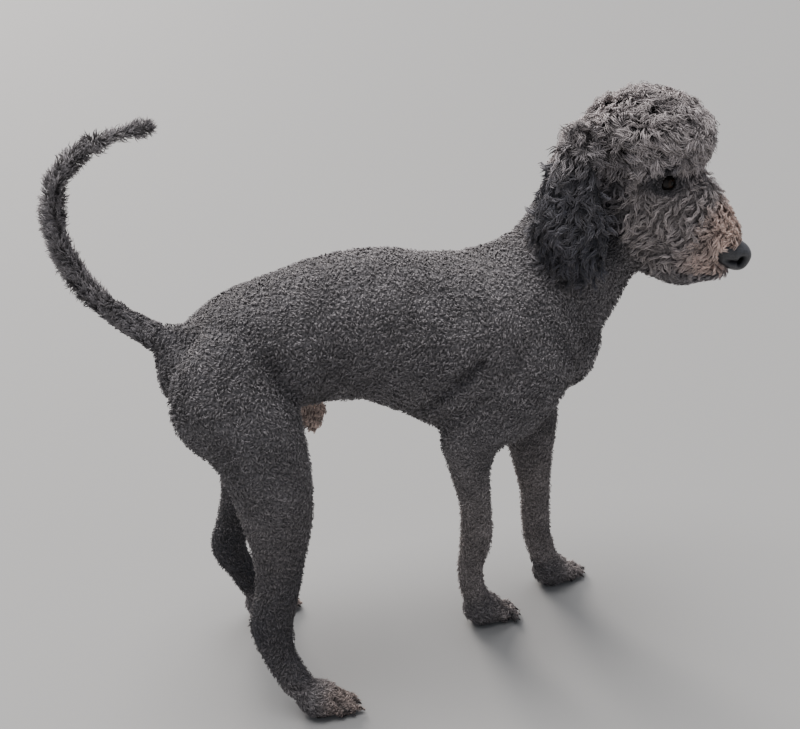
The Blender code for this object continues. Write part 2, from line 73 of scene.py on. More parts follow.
KINDS = list(COAT)

# The kind of coat on each part, and the way its hair lies before it is laid flat on the skin.
GROWTH = {
    "chest": ("trunk", (-1.0, 0, -0.45)), "loin": ("trunk", (-1.0, 0, -0.3)),
    "rump": ("trunk", (-0.85, 0, -0.6)), "neck": ("neck", (-0.65, 0, -0.8)),
    "head": ("cheek", (-0.6, 0.2, -0.8)), "muzzle": ("muzzle", (-0.8, 0.3, -0.45)),
    "lower_jaw": ("jaw", (-1.0, 0.4, -0.1)), "ear": ("ear", (-0.15, 0, -1.0)),
    "forearm": ("leg", (-0.1, 0, -1.0)), "pastern": ("leg", (0, 0, -1.0)),
    "forepaw": ("foot", (0.8, 0, -0.5)), "thigh": ("leg", (-0.3, 0, -1.0)),
    "shank": ("leg", (-0.2, 0, -1.0)), "hock": ("leg", (0.15, 0, -1.0)),
    "hindpaw": ("foot", (0.8, 0, -0.5)), "tail_base": ("tail", (-0.75, 0, 0.65)),
    "tail_middle": ("tail", (0, 0, 1.0)), "tail_tip": ("tail", (0.95, 0, 0.3)),
}


def kind_name(node):
    """The part's name without its side."""
    return node.removesuffix("_right").removesuffix("_left")


def middle(node):
    """The centre of a node's box."""
    low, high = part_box(node)
    return np.array((low + high) / 2)


def unit(rows):
    """Each row divided by its length."""
    rows = np.asarray(rows, float)
    return rows / np.maximum(np.linalg.norm(rows, axis=-1, keepdims=True), 1e-9)


def ease(values, low, high):
    """0 below low, 1 above high, and a smooth S between them."""
    share = np.clip((values - low) / (high - low), 0, 1)
    return share * share * (3 - 2 * share)


def fade(values, low, high):
    """1 below low, 0 above high, and the same S between them."""
    return 1 - ease(values, low, high)


def bell(values, width):
    """1 at zero, falling smoothly on both sides to about a third at this width."""
    return np.exp(-((values / width) ** 2))


def length(rows):
    """The length of each row."""
    return np.linalg.norm(rows, axis=1)


def read(items, field, width=1, kind=np.float64):
    """One row of numbers for each item of a mesh collection."""
    values = np.empty(len(items) * width, kind)
    items.foreach_get(field, values)
    return values.reshape(-1, width) if width > 1 else values


RIPPLE_WAVES = 8  # sine waves in the sum


def ripple(points, size, seed):
    """Smooth wandering values of about -1 to 1, and the way in which they rise: the sum of eight sine waves
    about that long, each in its own seeded direction, and the sum of their slopes."""
    rng = np.random.default_rng(seed)
    ways = unit(rng.normal(size=(RIPPLE_WAVES, 3))) * rng.uniform(0.6, 1.4, (RIPPLE_WAVES, 1))
    angle = points @ ways.T * 2 * math.pi / size + rng.uniform(0, 2 * math.pi, RIPPLE_WAVES)
    evening = math.sqrt(RIPPLE_WAVES)
    return np.sin(angle).sum(1) / evening, np.cos(angle) @ ways / evening


def placed(name, data):
    """A new object at the origin."""
    piece = bpy.data.objects.new(name, data)
    bpy.context.scene.collection.objects.link(piece)
    return piece


def dressed(piece, material):
    """The piece smooth, in its material and slot, riding on the dog's one body."""
    faces = piece.data.polygons
    piece.data.materials.append(material)
    faces.foreach_set("use_smooth", np.ones(len(faces), bool))
    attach(piece, "root")
    return piece


def corner_mean(mesh, face_values):
    """Vertex values: the mean of the values of the faces that meet there."""
    vertex = read(mesh.loops, "vertex_index", kind=np.int32)
    face = np.repeat(np.arange(len(mesh.polygons)), read(mesh.polygons, "loop_total", kind=np.int32))
    count = np.bincount(vertex, minlength=len(mesh.vertices))
    columns = [np.bincount(vertex, column[face], len(count)) for column in np.transpose(face_values)]
    return np.stack(columns, 1) / count[:, None]


def soften(values, edges, passes):
    """Each pass moves every row half of the way to the mean of its neighbours along the edges."""
    count = np.bincount(edges.ravel(), minlength=len(values))
    for _ in range(passes):
        sums = [
            np.bincount(edges[:, 0], column[edges[:, 1]], len(values))
            + np.bincount(edges[:, 1], column[edges[:, 0]], len(values))
            for column in values.T
        ]
        values = (values + np.stack(sums, 1) / count[:, None]) / 2
    return values


def joined_flesh():
    """All solids of flesh in one mesh, with their corners merged and their numbers in FLESH on the faces."""
    places, faces, labels = [], [], []
    start = 0
    for number, name in enumerate(FLESH):
        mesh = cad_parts[name].data
        mesh.calc_loop_triangles()
        place = read(mesh.vertices, "co", 3)
        triangles = read(mesh.loop_triangles, "vertices", 3, np.int32)
        merged, index = np.unique(np.round(place, 6), axis=0, return_inverse=True)
        places.append(merged)
        faces.append(index.ravel()[triangles] + start)
        labels.append(np.full(len(triangles), number, np.int32))
        start += len(merged)
    mesh = bpy.data.meshes.new("skin")
    mesh.from_pydata(np.concatenate(places).tolist(), [], np.concatenate(faces).tolist())
    mesh.attributes.new("part", "INT", "FACE").data.foreach_set("value", np.concatenate(labels))
    return mesh


def remesh(skin, grain):
    """Makes one even grid of faces that closes the cuts between the solids and keeps their numbers."""
    skin.data.remesh_voxel_size = grain
    skin.data.use_remesh_preserve_attributes = True
    bpy.context.view_layer.objects.active = skin
    bpy.ops.object.voxel_remesh()


def refine(mesh, centre, radius):
    """Splits each face near the centre in four."""
    near = length(read(mesh.polygons, "center", 3) - centre) < radius
    form = bmesh.new()
    form.from_mesh(mesh)
    form.faces.ensure_lookup_table()
    edges = {edge for index in np.flatnonzero(near) for edge in form.faces[index].edges}
    bmesh.ops.subdivide_edges(form, edges=sorted(edges, key=lambda e: e.index), cuts=1, use_grid_fill=True)
    form.to_mesh(mesh)
    form.free()


# The head's own axes, from its two eyes: ahead along the muzzle, and left.
SIDES = ("right", "left")
EYES = {side: middle("eye_" + side) for side in SIDES}
EARS = {side: middle("ear_" + side) for side in SIDES}
EYE_RADIUS = (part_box("eye_right")[1].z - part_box("eye_right")[0].z) / 2
LEFT = unit(EYES["left"] - EYES["right"])
OUTWARD = {"right": -LEFT, "left": LEFT}
AHEAD = np.array([LEFT[1], -LEFT[0], 0])
EYE_LEVEL = EYES["right"][2]
BETWEEN_EYES = (EYES["right"] + EYES["left"]) / 2
NOSE_RADII = (0.0318, 0.0260, 0.0228)
NOSE_TILT = math.radians(24)
NOSE_AXES = np.array([AHEAD * math.cos(NOSE_TILT) - [0, 0, math.sin(NOSE_TILT)], LEFT,
                      AHEAD * math.sin(NOSE_TILT) + [0, 0, math.cos(NOSE_TILT)]])
NOSE_BACK, NOSE_UP = 0.0073, 0.0022  # from the middle of its solid
NOSE = middle("nose") - NOSE_BACK * AHEAD + [0, 0, NOSE_UP]
CROWN_BACK, CROWN_UP = 0.075, 0.1  # from the point between the eyes
CROWN = BETWEEN_EYES - CROWN_BACK * AHEAD + [0, 0, CROWN_UP]
GAZE_SPLAY = math.radians(48)


def eye_axes(side):
    """The eye's own axes: towards the nose, up, and out along its gaze, splayed from the muzzle's line."""
    out = AHEAD * math.cos(GAZE_SPLAY) + OUTWARD[side] * math.sin(GAZE_SPLAY)
    up = np.array([0, 0, 1.0])
    along = unit(np.cross(up, out)) * (-1 if side == "left" else 1)
    return np.stack([along, up, out])


COAT_BLENDING = 14  # passes that soften the borders of the kinds of coat, and of the way the hair lies
LIE_BLENDING = 25
skin = placed("skin", joined_flesh())
remesh(skin, SKIN_GRAIN)
for eye in EYES.values():
    for radius in FINE_RADII:
        refine(skin.data, eye, radius)

mesh = skin.data
edges = read(mesh.edges, "vertices", 2, np.int32)
part = read(mesh.attributes["part"].data, "value", kind=np.int32)
solid_place = read(mesh.vertices, "co", 3)
kind_of_part = np.array([KINDS.index(GROWTH[kind_name(name)][0]) for name in FLESH])
kind_share = soften(corner_mean(mesh, np.eye(len(KINDS))[kind_of_part[part]]), edges, COAT_BLENDING)
weight = {kind: kind_share[:, column] for column, kind in enumerate(KINDS)}
lie = np.array([GROWTH[kind_name(name)][1] for name in FLESH])[part]
lie = soften(corner_mean(mesh, unit(lie)), edges, LIE_BLENDING)
height = solid_place[:, 2]


def hand_over(amount, giver, taker):
    """Moves this amount of each vertex's coat from one kind to another."""
    weight[taker] += amount
    weight[giver] -= amount


# The topknot takes over from the cheeks above the eyes, and from the tops of the ears. Its hair falls
# outwards from the crown, and a little forward.
FOREHEAD_END = (0.145, 0.170)  # ahead of the crown
forehead = fade((solid_place - CROWN) @ AHEAD, *FOREHEAD_END)
hand_over(weight["cheek"] * ease(height, EYE_LEVEL + 0.012, EYE_LEVEL + 0.040) * forehead, "cheek", "topknot")
hand_over(weight["ear"] * ease(height, EYE_LEVEL + 0.020, EYE_LEVEL + 0.075), "ear", "topknot")
CROWN_OUT, CROWN_DOWN, CROWN_AHEAD = 0.9, 0.55, 0.35
PARTING = 0.02  # within about this of the crown, the hair's outward lie fades
from_crown = (solid_place - CROWN) * [1, 1, 0]
radial = CROWN_OUT * from_crown / (length(from_crown)[:, None] + PARTING) + [0, 0, -CROWN_DOWN]
topknot_share = weight["topknot"][:, None]
lie = lie * (1 - topknot_share) + (radial + CROWN_AHEAD * AHEAD) * topknot_share

# The root of the tail is clipped like the rump.
DOCK = np.array([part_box("tail_base")[1].x, middle("tail_base")[1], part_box("tail_base")[0].z])
CLIPPED_END = (0.050, 0.125)  # from the dock
hand_over(weight["tail"] * fade(length(solid_place - DOCK), *CLIPPED_END), "tail", "trunk")

# The coat thins to nothing on the eyelids and round the nose.
LID_SPAN = (1.55, 1.15, 1.10)  # how far the bare lids reach along the slit, upwards and outwards
BY_LIDS, BY_NOSE = 0.15, 0.28  # how much of the coat's depth is left there
eye_distance = np.min([length(solid_place - eye) for eye in EYES.values()], axis=0)
from_lids = np.min([length((solid_place - eye) @ eye_axes(side).T / LID_SPAN)
                    for side, eye in EYES.items()], axis=0)
from_nose = length((solid_place - NOSE) @ NOSE_AXES.T / NOSE_RADII)
thin = np.minimum(BY_LIDS + (1 - BY_LIDS) * ease(from_lids, 0.014, 0.036),
                  BY_NOSE + (1 - BY_NOSE) * ease(from_nose, 1.15, 1.9))
by_nose = fade(from_nose, 1.1, 2.2)[:, None]
lie = lie * (1 - by_nose) + unit(solid_place - NOSE) * by_nose
depth = (kind_share @ np.array([COAT[kind][0] for kind in KINDS])) * thin

# The skin draws in by the depth of the coat, a fifth at a time, and is evened out where the coat is thick.
SHRINK_STEPS = 5
SOLE_HEIGHT = 0.0008  # under this the skin is sole, and stays on the floor
place = solid_place.copy()
on_floor = height < SOLE_HEIGHT
thick = np.clip(weight["trunk"] + weight["topknot"], 0, 1)
calm = (ease(eye_distance, 0.012, 0.03) * (0.35 + 0.65 * thick))[:, None]
for _ in range(SHRINK_STEPS):
    mesh.vertices.foreach_set("co", place.ravel())
    mesh.update()
    normal = read(mesh.vertex_normals, "vector", 3)
    place = place - normal * (depth / SHRINK_STEPS)[:, None]
    place = place + (soften(place, edges, 1) - place) * calm
    place[on_floor, 2] = 0

# Eyelids: near the eye the skin stands on a sphere just over the eyeball, and inside an almond-shaped slit it
# drops behind it, so that the slit's edge is the thick rim of a lid.
LID_THICKNESS = 0.0013
SLIT_HALF_LENGTH = 0.0105
SLIT_HALF_HEIGHT = 0.0042
SLIT_RISE = 0.0004  # of the slit's line over the eye's middle
BEHIND_BALL = 0.003  # how far the skin inside the slit lies under the eyeball
bare = np.zeros(len(place))
for side, eye in EYES.items():
    axes = eye_axes(side)
    own = (place - eye) @ axes.T
    across = np.hypot(own[:, 0], own[:, 1])
    near = (across < 2.2 * EYE_RADIUS) & (own[:, 2] > -0.2 * EYE_RADIUS) & (eye_distance < 0.035)
    reach = 0.93 * EYE_RADIUS
    lid_height = np.sqrt(np.maximum((EYE_RADIUS + LID_THICKNESS) ** 2 - np.minimum(across, reach) ** 2, 0))
    blend = ease(across, reach, 1.9 * EYE_RADIUS)
    raised = lid_height * (1 - blend) + own[:, 2] * blend
    slit = SLIT_HALF_HEIGHT * (1 - np.clip(own[:, 0] / SLIT_HALF_LENGTH, -1, 1) ** 2)
    inside = (np.abs(own[:, 1] - SLIT_RISE) < slit) & near
    raised = np.where(inside, np.sqrt(np.maximum(EYE_RADIUS**2 - across**2, 0)) - BEHIND_BALL, raised)
    own[:, 2] = np.where(near, raised, own[:, 2])
    place = own @ axes + eye
    bare = np.maximum(bare, near * fade(across, 0.85 * EYE_RADIUS, 1.15 * EYE_RADIUS))

# The nose leather grows out of the muzzle. The muzzle's front is held back behind the nose's middle, and the
# skin nearest the nose draws in until it is hidden inside.
NOSE_HOLD = -0.022
own = (place - NOSE) @ NOSE_AXES.T
beside = np.hypot(own[:, 1] / NOSE_RADII[1], np.minimum(own[:, 2], 0) / (0.62 * NOSE_RADII[2]))
too_far = np.maximum(own[:, 0] - NOSE_HOLD, 0)
own[:, 0] = own[:, 0] - too_far * fade(beside, 1.35, 2.1) * fade(own[:, 2], 0.014, 0.024)
share_out = length(own / NOSE_RADII)
drawn = (share_out - 0.55 * fade(share_out, 0.9, 1.6)) / share_out
place = NOSE + (own * np.maximum(drawn, 0.3)[:, None]) @ NOSE_AXES
bare = np.maximum(bare, fade(share_out * drawn, 0.92, 1.05))

# The lips meet in a groove between muzzle and lower jaw, and the soles are bare.
MOUTH_DEPTH = 0.004
mouth = 4 * weight["muzzle"] * weight["jaw"] * ease((place - NOSE) @ AHEAD, -0.105, -0.075)
place = place - normal * (MOUTH_DEPTH * ease(mouth, 0.5, 1.0))[:, None]
bare = np.max([bare, ease(mouth, 0.75, 1.0), on_floor], axis=0)

# Soft forms under the coat, the same on both sides. Each runs from one point of the side view to another,
# with a width and a depth. Those with a depth below zero stand out.
FOLDS = {
    "elbow": ((-0.010, 0.425), (0.070, 0.497), 0.010, 0.0085),
    "shoulder point": ((0.160, 0.565), (0.203, 0.470), 0.012, 0.0040),
    "behind the shoulder blade": ((0.020, 0.590), (0.010, 0.480), 0.020, 0.0025),
    "shoulder blade": ((0.075, 0.600), (0.150, 0.490), 0.022, -0.0030),
    "flank": ((-0.215, 0.535), (-0.180, 0.450), 0.013, 0.0065),
    "hip": ((-0.255, 0.560), (-0.235, 0.500), 0.024, -0.0025),
    "seat": ((-0.345, 0.500), (-0.318, 0.440), 0.012, 0.0055),
    "back of the thigh": ((-0.285, 0.440), (-0.262, 0.340), 0.011, 0.0030),
}
DEEPEST_FOLD = 0.0085
sideways = ease(np.abs(normal[:, 1]), 0.25, 0.6) * ~on_floor
fold_shade = np.zeros(len(place))
for start, end, width, sunk in FOLDS.values():
    start, way = np.array(start), np.subtract(end, start)
    off = place[:, [0, 2]] - start
    along = np.clip(off @ way / (way @ way), 0, 1)
    sinking = sideways * bell(length(off - along[:, None] * way), width)
    place = place - normal * (sunk * sinking)[:, None]
    # Each fold also paints shade into its crease, by how deep it is.
    fold_shade = np.maximum(fold_shade, sinking * sunk / DEEPEST_FOLD)

# The underside of the chin rises towards its tip.
CHIN_RISE = 0.006
chin = weight["jaw"] * ease((place - NOSE) @ AHEAD, -0.075, -0.030)
place = place + (chin * ease(NOSE[2] - place[:, 2], 0.012, 0.030))[:, None] * [0, 0, CHIN_RISE]

# The sheath under the belly lies back and up a little against it.
SHEATH = np.array([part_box("rump")[1].x - 0.030, middle("loin")[1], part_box("loin")[0].z + 0.019])
SHEATH_RADII = (0.036, 0.024, 0.044)
SHEATH_SHIFT = (-0.006, 0, 0.004)
sheath = fade(length((place - SHEATH) / SHEATH_RADII), 0.85, 1.15)
place = place + sheath[:, None] * SHEATH_SHIFT

# Halfway up, the ears bend in towards the head, and their upper rear corners are drawn forward.
EAR_BEND, EAR_CORNER = 0.009, 0.014
for side, ear in EARS.items():
    own_side = (place - BETWEEN_EYES) @ OUTWARD[side] > 0
    bend = weight["ear"] * own_side * bell(place[:, 2] - EYE_LEVEL, 0.050)
    drawn = bend * fade((place - ear) @ AHEAD, -0.055, -0.005)
    drawn = drawn * ease(place[:, 2], EYE_LEVEL - 0.040, EYE_LEVEL + 0.015)
    place = place - (EAR_BEND * bend)[:, None] * OUTWARD[side] + (EAR_CORNER * drawn)[:, None] * AHEAD

# The toes: three grooves over the front of each paw, that part its four toes.
PAW_HEADING = {"forepaw_right": -2, "forepaw_left": 4, "hindpaw_right": -12, "hindpaw_left": 8}
TOE_FAN = (-25.0, -8.5, 8.5, 25.0)
GROOVE_ANGLES = (-17.0, 0.0, 17.0)
GROOVE_DEPTH = 0.0060
GROOVE_WIDTH = 3.6  # in degrees, as the angles
HEEL = 0.030  # behind the paw's middle, where the toes' lines meet
toe_share = np.zeros(len(place))
groove_shade = np.zeros(len(place))
for paw, heading in PAW_HEADING.items():
    sole = middle(paw) * [1, 1, 0]
    turn = math.radians(heading)
    spun = [[math.cos(turn), -math.sin(turn), 0], [math.sin(turn), math.cos(turn), 0], [0, 0, 1]]
    own = (place - sole) @ np.array(spun)
    angle = np.degrees(np.arctan2(own[:, 1], own[:, 0] + HEEL))
    front = ease(own[:, 0], 0.008, 0.024) * (length(own) < 0.08) * fade(own[:, 2], 0.035, 0.045)
    groove = np.max([bell(angle - between_toes, GROOVE_WIDTH) for between_toes in GROOVE_ANGLES], axis=0)
    place = place - normal * (GROOVE_DEPTH * groove * front * ~on_floor)[:, None]
    toe_share = np.maximum(toe_share, (length(own) < 0.085) * ease(own[:, 0], -0.012, 0.026))
    # The grooves are also darkened, as painted shade in them.
    groove_shade = np.maximum(groove_shade, groove * front)
mesh.vertices.foreach_set("co", place.ravel())
mesh.update()

# Markings and painted shade, one amount for each vertex: brown face and legs, rusty muzzle, toes and
# sheath, black with painted shade, and how bare the skin is. The black is the strongest of what each dark
# place gives: the black ears, the lower jaw's dark lips with painted shade under the muzzle, the darker hind
# legs, backs of the paws, rear and crown over the ears, and painted shade in the folds, the toe grooves,
# under the chest by the elbows, in the eye hollows, on the neck under the ears and in the gap between ear and
# cheek.
height = place[:, 2]
on_body = weight["trunk"] + weight["leg"]
legs = weight["leg"] * fade(height, 0.16, 0.42)
hind_toes = ease(-place[:, 0], 0.10, 0.12) * fade(height, 0.030, 0.060)
face_brown = (weight["cheek"] + weight["muzzle"] + (0.45 + 0.45 * toe_share) * weight["foot"]
              + 0.75 * weight["topknot"] + legs)
face_brown = np.maximum(face_brown, sheath)
muzzle_rust = np.max([weight["muzzle"] * ease((place - BETWEEN_EYES) @ AHEAD, 0.010, 0.085),
                      (0.10 + 0.55 * hind_toes) * toe_share * weight["foot"],
                      0.75 * sheath], axis=0)
low_on_ear = fade(height, EYE_LEVEL - 0.04, EYE_LEVEL + 0.04)
below_knee = fade(height, 0.22, 0.34)
# Painted shade under the chest: its underside and the tops of the forelegs at elbow height.
shade_under_chest = ease(height, 0.24, 0.31) * fade(height, 0.37, 0.42) * ease(place[:, 0], 0.03, 0.08)
black_and_shade = [
    (0.80 + 0.20 * low_on_ear) * weight["ear"],
    # the lower jaw darker: partly its dark lips, partly painted shade under the muzzle
    0.35 * weight["jaw"],
    (0.68 + 0.18 * below_knee) * legs * fade(place[:, 0], -0.05, 0.03),  # hind legs
    # painted shade in the folds
    0.45 * fold_shade,
    # the backs of the paws darker, and painted shade in the toe grooves
    weight["foot"] * np.maximum(0.35 * (1 - toe_share), 0.75 * groove_shade),
    0.26 * fade(place[:, 0], -0.26, -0.06) * on_body,  # rear
    # painted shade under the chest
    0.26 * shade_under_chest * on_body,
]
# Painted shade in the hollow round each eye, under the brow.
EYE_SHADE_MIDDLE = (-0.004, 0.006, 0)
EYE_SHADE_RADII = (0.045, 0.024, 0.038)
EAR_FOOT, EAR_TOP = (edge.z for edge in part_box("ear_right"))
for side, eye in EYES.items():
    hollow = length(((place - eye) @ eye_axes(side).T - EYE_SHADE_MIDDLE) / EYE_SHADE_RADII)
    black_and_shade.append(0.92 * fade(hollow, 0.55, 1.1))
# Painted shade on the neck under each ear and in the gap between each ear and the cheek, and the crown's hair
# darker over the ear.
for side, ear in EARS.items():
    shade_under_ear = fade(length(place - ear - 0.055 * AHEAD), 0.050, 0.085)
    over_ear = fade(length(place - ear - [0, 0, 0.035]), 0.045, 0.105)
    ahead = (place - ear) @ AHEAD
    shade_ahead_of_ear = ease(ahead, 0.0, 0.03) * fade(ahead, 0.060, 0.088)
    shade_ahead_of_ear = shade_ahead_of_ear * ease(height, EAR_FOOT - 0.010, EAR_FOOT + 0.045)
    shade_ahead_of_ear = shade_ahead_of_ear * fade(height, EAR_TOP - 0.085, EAR_TOP - 0.035)
    own_side = (place - BETWEEN_EYES) @ OUTWARD[side] > 0
    black_and_shade += [0.75 * weight["neck"] * shade_under_ear, 0.48 * weight["topknot"] * over_ear,
               0.8 * own_side * shade_ahead_of_ear * (weight["cheek"] + weight["neck"] + weight["jaw"])]
# The black amount holds both the black coat and painted shade.
markings_and_shade = np.stack([face_brown, muzzle_rust, np.max(black_and_shade, axis=0), bare], 1)


def name_point_colours(mesh, name, rows):
    """Stores four numbers for each vertex under this name."""
    store = mesh.color_attributes.new(name, "FLOAT_COLOR", "POINT")
    store.data.foreach_set("color", np.clip(rows, 0, 1).astype(np.float32).ravel())


name_point_colours(mesh, "markings_and_shade", markings_and_shade)


def unwrapped(piece):
    """Lays the skin out flat in one map, of which each hair takes a small patch at its root."""
    piece.data.uv_layers.new(name="OFBake")
    bpy.context.view_layer.objects.active = piece
    piece.select_set(True)
    bpy.ops.object.mode_set(mode="EDIT")
    bpy.ops.mesh.select_all(action="SELECT")
    bpy.ops.uv.smart_project(angle_limit=1.15, island_margin=0.001, scale_to_bounds=True)
    bpy.ops.object.mode_set(mode="OBJECT")


unwrapped(skin)


def link(tree, pairs):
    """Joins sockets from left to right."""
    for source, target in pairs:
        tree.links.new(source, target)


def new_group(name, inputs, outputs):
    """An empty shader group with these named sockets."""
    group = bpy.data.node_groups.new(name, "ShaderNodeTree")
    for label, kind, value in inputs:
        socket = group.interface.new_socket(label, in_out="INPUT", socket_type=kind)
        socket.default_value = value
    for label, kind in outputs:
        group.interface.new_socket(label, in_out="OUTPUT", socket_type=kind)
    return group, group.nodes.new("NodeGroupInput"), group.nodes.new("NodeGroupOutput")


def plug(tree, value, socket):
    """Links the socket when the value is another socket, and sets it when it is a number or a colour."""
    if isinstance(value, bpy.types.NodeSocket):
        tree.links.new(value, socket)
    else:
        socket.default_value = value


def finish(tree, node, values):
    """Links or sets each of these inputs of a shader or another node."""
    for label, value in values.items():
        plug(tree, value, node.inputs[label])


def number(tree, operation, first, second):
    """A sum worked out in the material."""
    node = tree.nodes.new("ShaderNodeMath")
    node.operation = operation
    for value, socket in zip((first, second), node.inputs):
        plug(tree, value, socket)
    return node.outputs[0]


def blended(tree, share, first, second, kind="MIX"):
    """The first colour, taken over by the second, or multiplied by it, in this share."""
    node = tree.nodes.new("ShaderNodeMix")
    node.data_type = "RGBA"
    node.blend_type = kind
    for value, socket in ((share, node.inputs[0]), (first, node.inputs[6]), (second, node.inputs[7])):
        plug(tree, value, socket)
    return node.outputs[2]


def lit(tree, colour, light):
    """The colour multiplied by a number."""
    grey = tree.nodes.new("ShaderNodeCombineColor")
    link(tree, [(light, socket) for socket in grey.inputs[:3]])
    return blended(tree, 1, colour, grey.outputs[0], "MULTIPLY")


def stored(tree, name):
    """The single number that the mesh keeps under this name."""
    node = tree.nodes.new("ShaderNodeAttribute")
    node.attribute_name = name
    return node.outputs["Fac"]


def stored_four(tree, name):
    """The four numbers that the mesh keeps under this name."""
    node = stored(tree, name).node
    apart = tree.nodes.new("ShaderNodeSeparateColor")
    tree.links.new(node.outputs["Color"], apart.inputs[0])
    return [*apart.outputs, node.outputs["Alpha"]]


def spread(tree, value, low, high, out_low=0.0, out_high=1.0):
    """A value carried from one range to another, and held at its ends."""
    node = tree.nodes.new("ShaderNodeMapRange")
    tree.links.new(value, node.inputs[0])
    for socket, setting in zip(node.inputs[1:5], (low, high, out_low, out_high)):
        socket.default_value = setting
    return node.outputs[0]


def noise(tree, place, size, detail=2.0):
    """Blender's noise with features of about that size in metres."""
    node = tree.nodes.new("ShaderNodeTexNoise")
    node.inputs["Scale"].default_value = 1 / size
    node.inputs["Detail"].default_value = detail
    tree.links.new(place, node.inputs["Vector"])
    return node.outputs["Fac"]


GREY = (0.272, 0.255, 0.262, 1)
BROWN = (0.362, 0.322, 0.314, 1)
RUST = (0.625, 0.472, 0.405, 1)
BLACK_AND_SHADE = (0.046, 0.048, 0.060, 1)
LEATHER = (0.014, 0.012, 0.013, 1)


def markings_and_shade_group():
    """The dog's colours: charcoal, mixed to brown, rust and black by the stored markings and painted shade,
    in soft uneven patches. The black also paints the shade in folds, grooves and hollows."""
    colours = [(label, "NodeSocketColor", value)
               for label, value in (("Body", GREY), ("Face", BROWN), ("Muzzle", RUST), ("Black and shade", BLACK_AND_SHADE))]
    group, given, out = new_group("coat_markings_and_shade", colours,
                                  [("Colour", "NodeSocketColor"), ("Bare", "NodeSocketFloat")])
    *amounts, bareness = stored_four(group, "markings_and_shade")
    where = group.nodes.new("ShaderNodeTexCoord").outputs["Object"]
    patch = noise(group, where, 0.09, 3)
    colour = given.outputs["Body"]
    for label, amount in zip(("Face", "Muzzle", "Black and shade"), amounts):
        uneven = number(group, "MULTIPLY", amount, spread(group, patch, 0.3, 0.6, 0.75, 1.1))
        colour = blended(group, uneven, colour, given.outputs[label])
    tone = spread(group, noise(group, where, 0.045, 2), 0.3, 0.7, 0.8, 1.2)
    link(group, [(lit(group, colour, tone), out.inputs["Colour"]), (bareness, out.inputs["Bare"])])
    return group


MARKINGS_AND_SHADE = markings_and_shade_group()


def new_material(name):
    """A material with its Principled shader, its tree, and the place on the object."""
    material = bpy.data.materials.new(name)
    material.use_nodes = True
    tree = material.node_tree
    where = tree.nodes.new("ShaderNodeTexCoord").outputs["Object"]
    return material, tree, tree.nodes["Principled BSDF"], where


def marked(tree):
    """The dog's colours and painted shade placed in a material, and how bare it is."""
    node = tree.nodes.new("ShaderNodeGroup")
    node.node_tree = MARKINGS_AND_SHADE
    return node.outputs["Colour"], node.outputs["Bare"]


def bump(tree, shader, height, strength, distance):
    """Raises the surface by a height pattern."""
    node = tree.nodes.new("ShaderNodeBump")
    finish(tree, node, {"Strength": strength, "Distance": distance, "Height": height})
    tree.links.new(node.outputs[0], shader.inputs["Normal"])


def skin_material():
    """Undercoat: the coat's colours, darkened unevenly in flecks the size of its curls as painted shade deep
    in the coat, with a crimped bump to match, and smooth dark leather where bare."""
    material, tree, shader, where = new_material("skin")
    colour, bareness = marked(tree)
    curls = noise(tree, where, 0.0030, 2)
    # The undercoat is darkened as painted shade under the hair.
    shaded_flecks = lit(tree, colour, spread(tree, curls, 0.36, 0.64, 0.20, 0.72))
    finish(tree, shader, {"Base Color": blended(tree, bareness, shaded_flecks, LEATHER),
                          "Roughness": spread(tree, bareness, 0, 1, 0.85, 0.45)})
    bump(tree, shader, number(tree, "MULTIPLY", curls, spread(tree, bareness, 0, 1, 1, 0.15)), 0.9, 0.004)
    return material


dressed(skin, skin_material())
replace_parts(skin, *FLESH)


# ----------------------------------------------------------------------------
# The coat. Clipped short and curled tight on body and legs, left long on the crown and ears, wavy on the
# face. Each strand is a thin three-sided blade that rises from the skin, leans over into the lie of the coat
# and ends in a point. Strands grow in clumps that curl together.

mesh.calc_loop_triangles()
corner = read(mesh.loop_triangles, "vertices", 3, np.int32)
corner_loop = read(mesh.loop_triangles, "loops", 3, np.int32)
triangle_part = part[read(mesh.loop_triangles, "polygon_index", kind=np.int32)]
skin_map = read(mesh.uv_layers["OFBake"].uv, "vector", 2)
skin_place = read(mesh.vertices, "co", 3)
skin_normal = read(mesh.vertex_normals, "vector", 3)
sides = skin_place[corner]
triangle_area = np.linalg.norm(np.cross(sides[:, 1] - sides[:, 0], sides[:, 2] - sides[:, 0]), axis=1) / 2
hairy = fade(bare[corner].mean(1), 0.25, 0.6)
crowding = np.maximum(thin[corner].mean(1), 0.35)


def on_parts(nodes):
    """1 for each triangle of the skin that is on these parts."""
    return np.isin(triangle_part, [FLESH.index(name) for name in nodes]).astype(float)


def scattered(wanted, count, rng):
    """Roots spread evenly over the wanted skin: equal steps of area, each with its own chance shift."""
    reach = np.cumsum(triangle_area * hairy * wanted / crowding)
    steps = (np.arange(count) + rng.random(count)) / count * reach[-1]
    chosen = np.searchsorted(reach, steps)
    first, second = np.sqrt(rng.random(count)), rng.random(count)
    share = np.stack([1 - first, first * (1 - second), first * second], 1)[:, :, None]

    def at_root(values):
        """The skin's own values at each root."""
        return (values[corner[chosen]] * share).sum(1)

    return {
        "place": at_root(skin_place),
        "normal": unit(at_root(skin_normal)),
        "lie": at_root(lie),
        "kinds": at_root(kind_share),
        "thin": at_root(thin[:, None])[:, 0],
        "markings_and_shade": at_root(markings_and_shade),
        "map": (skin_map[corner_loop[chosen]] * share).sum(1),
    }


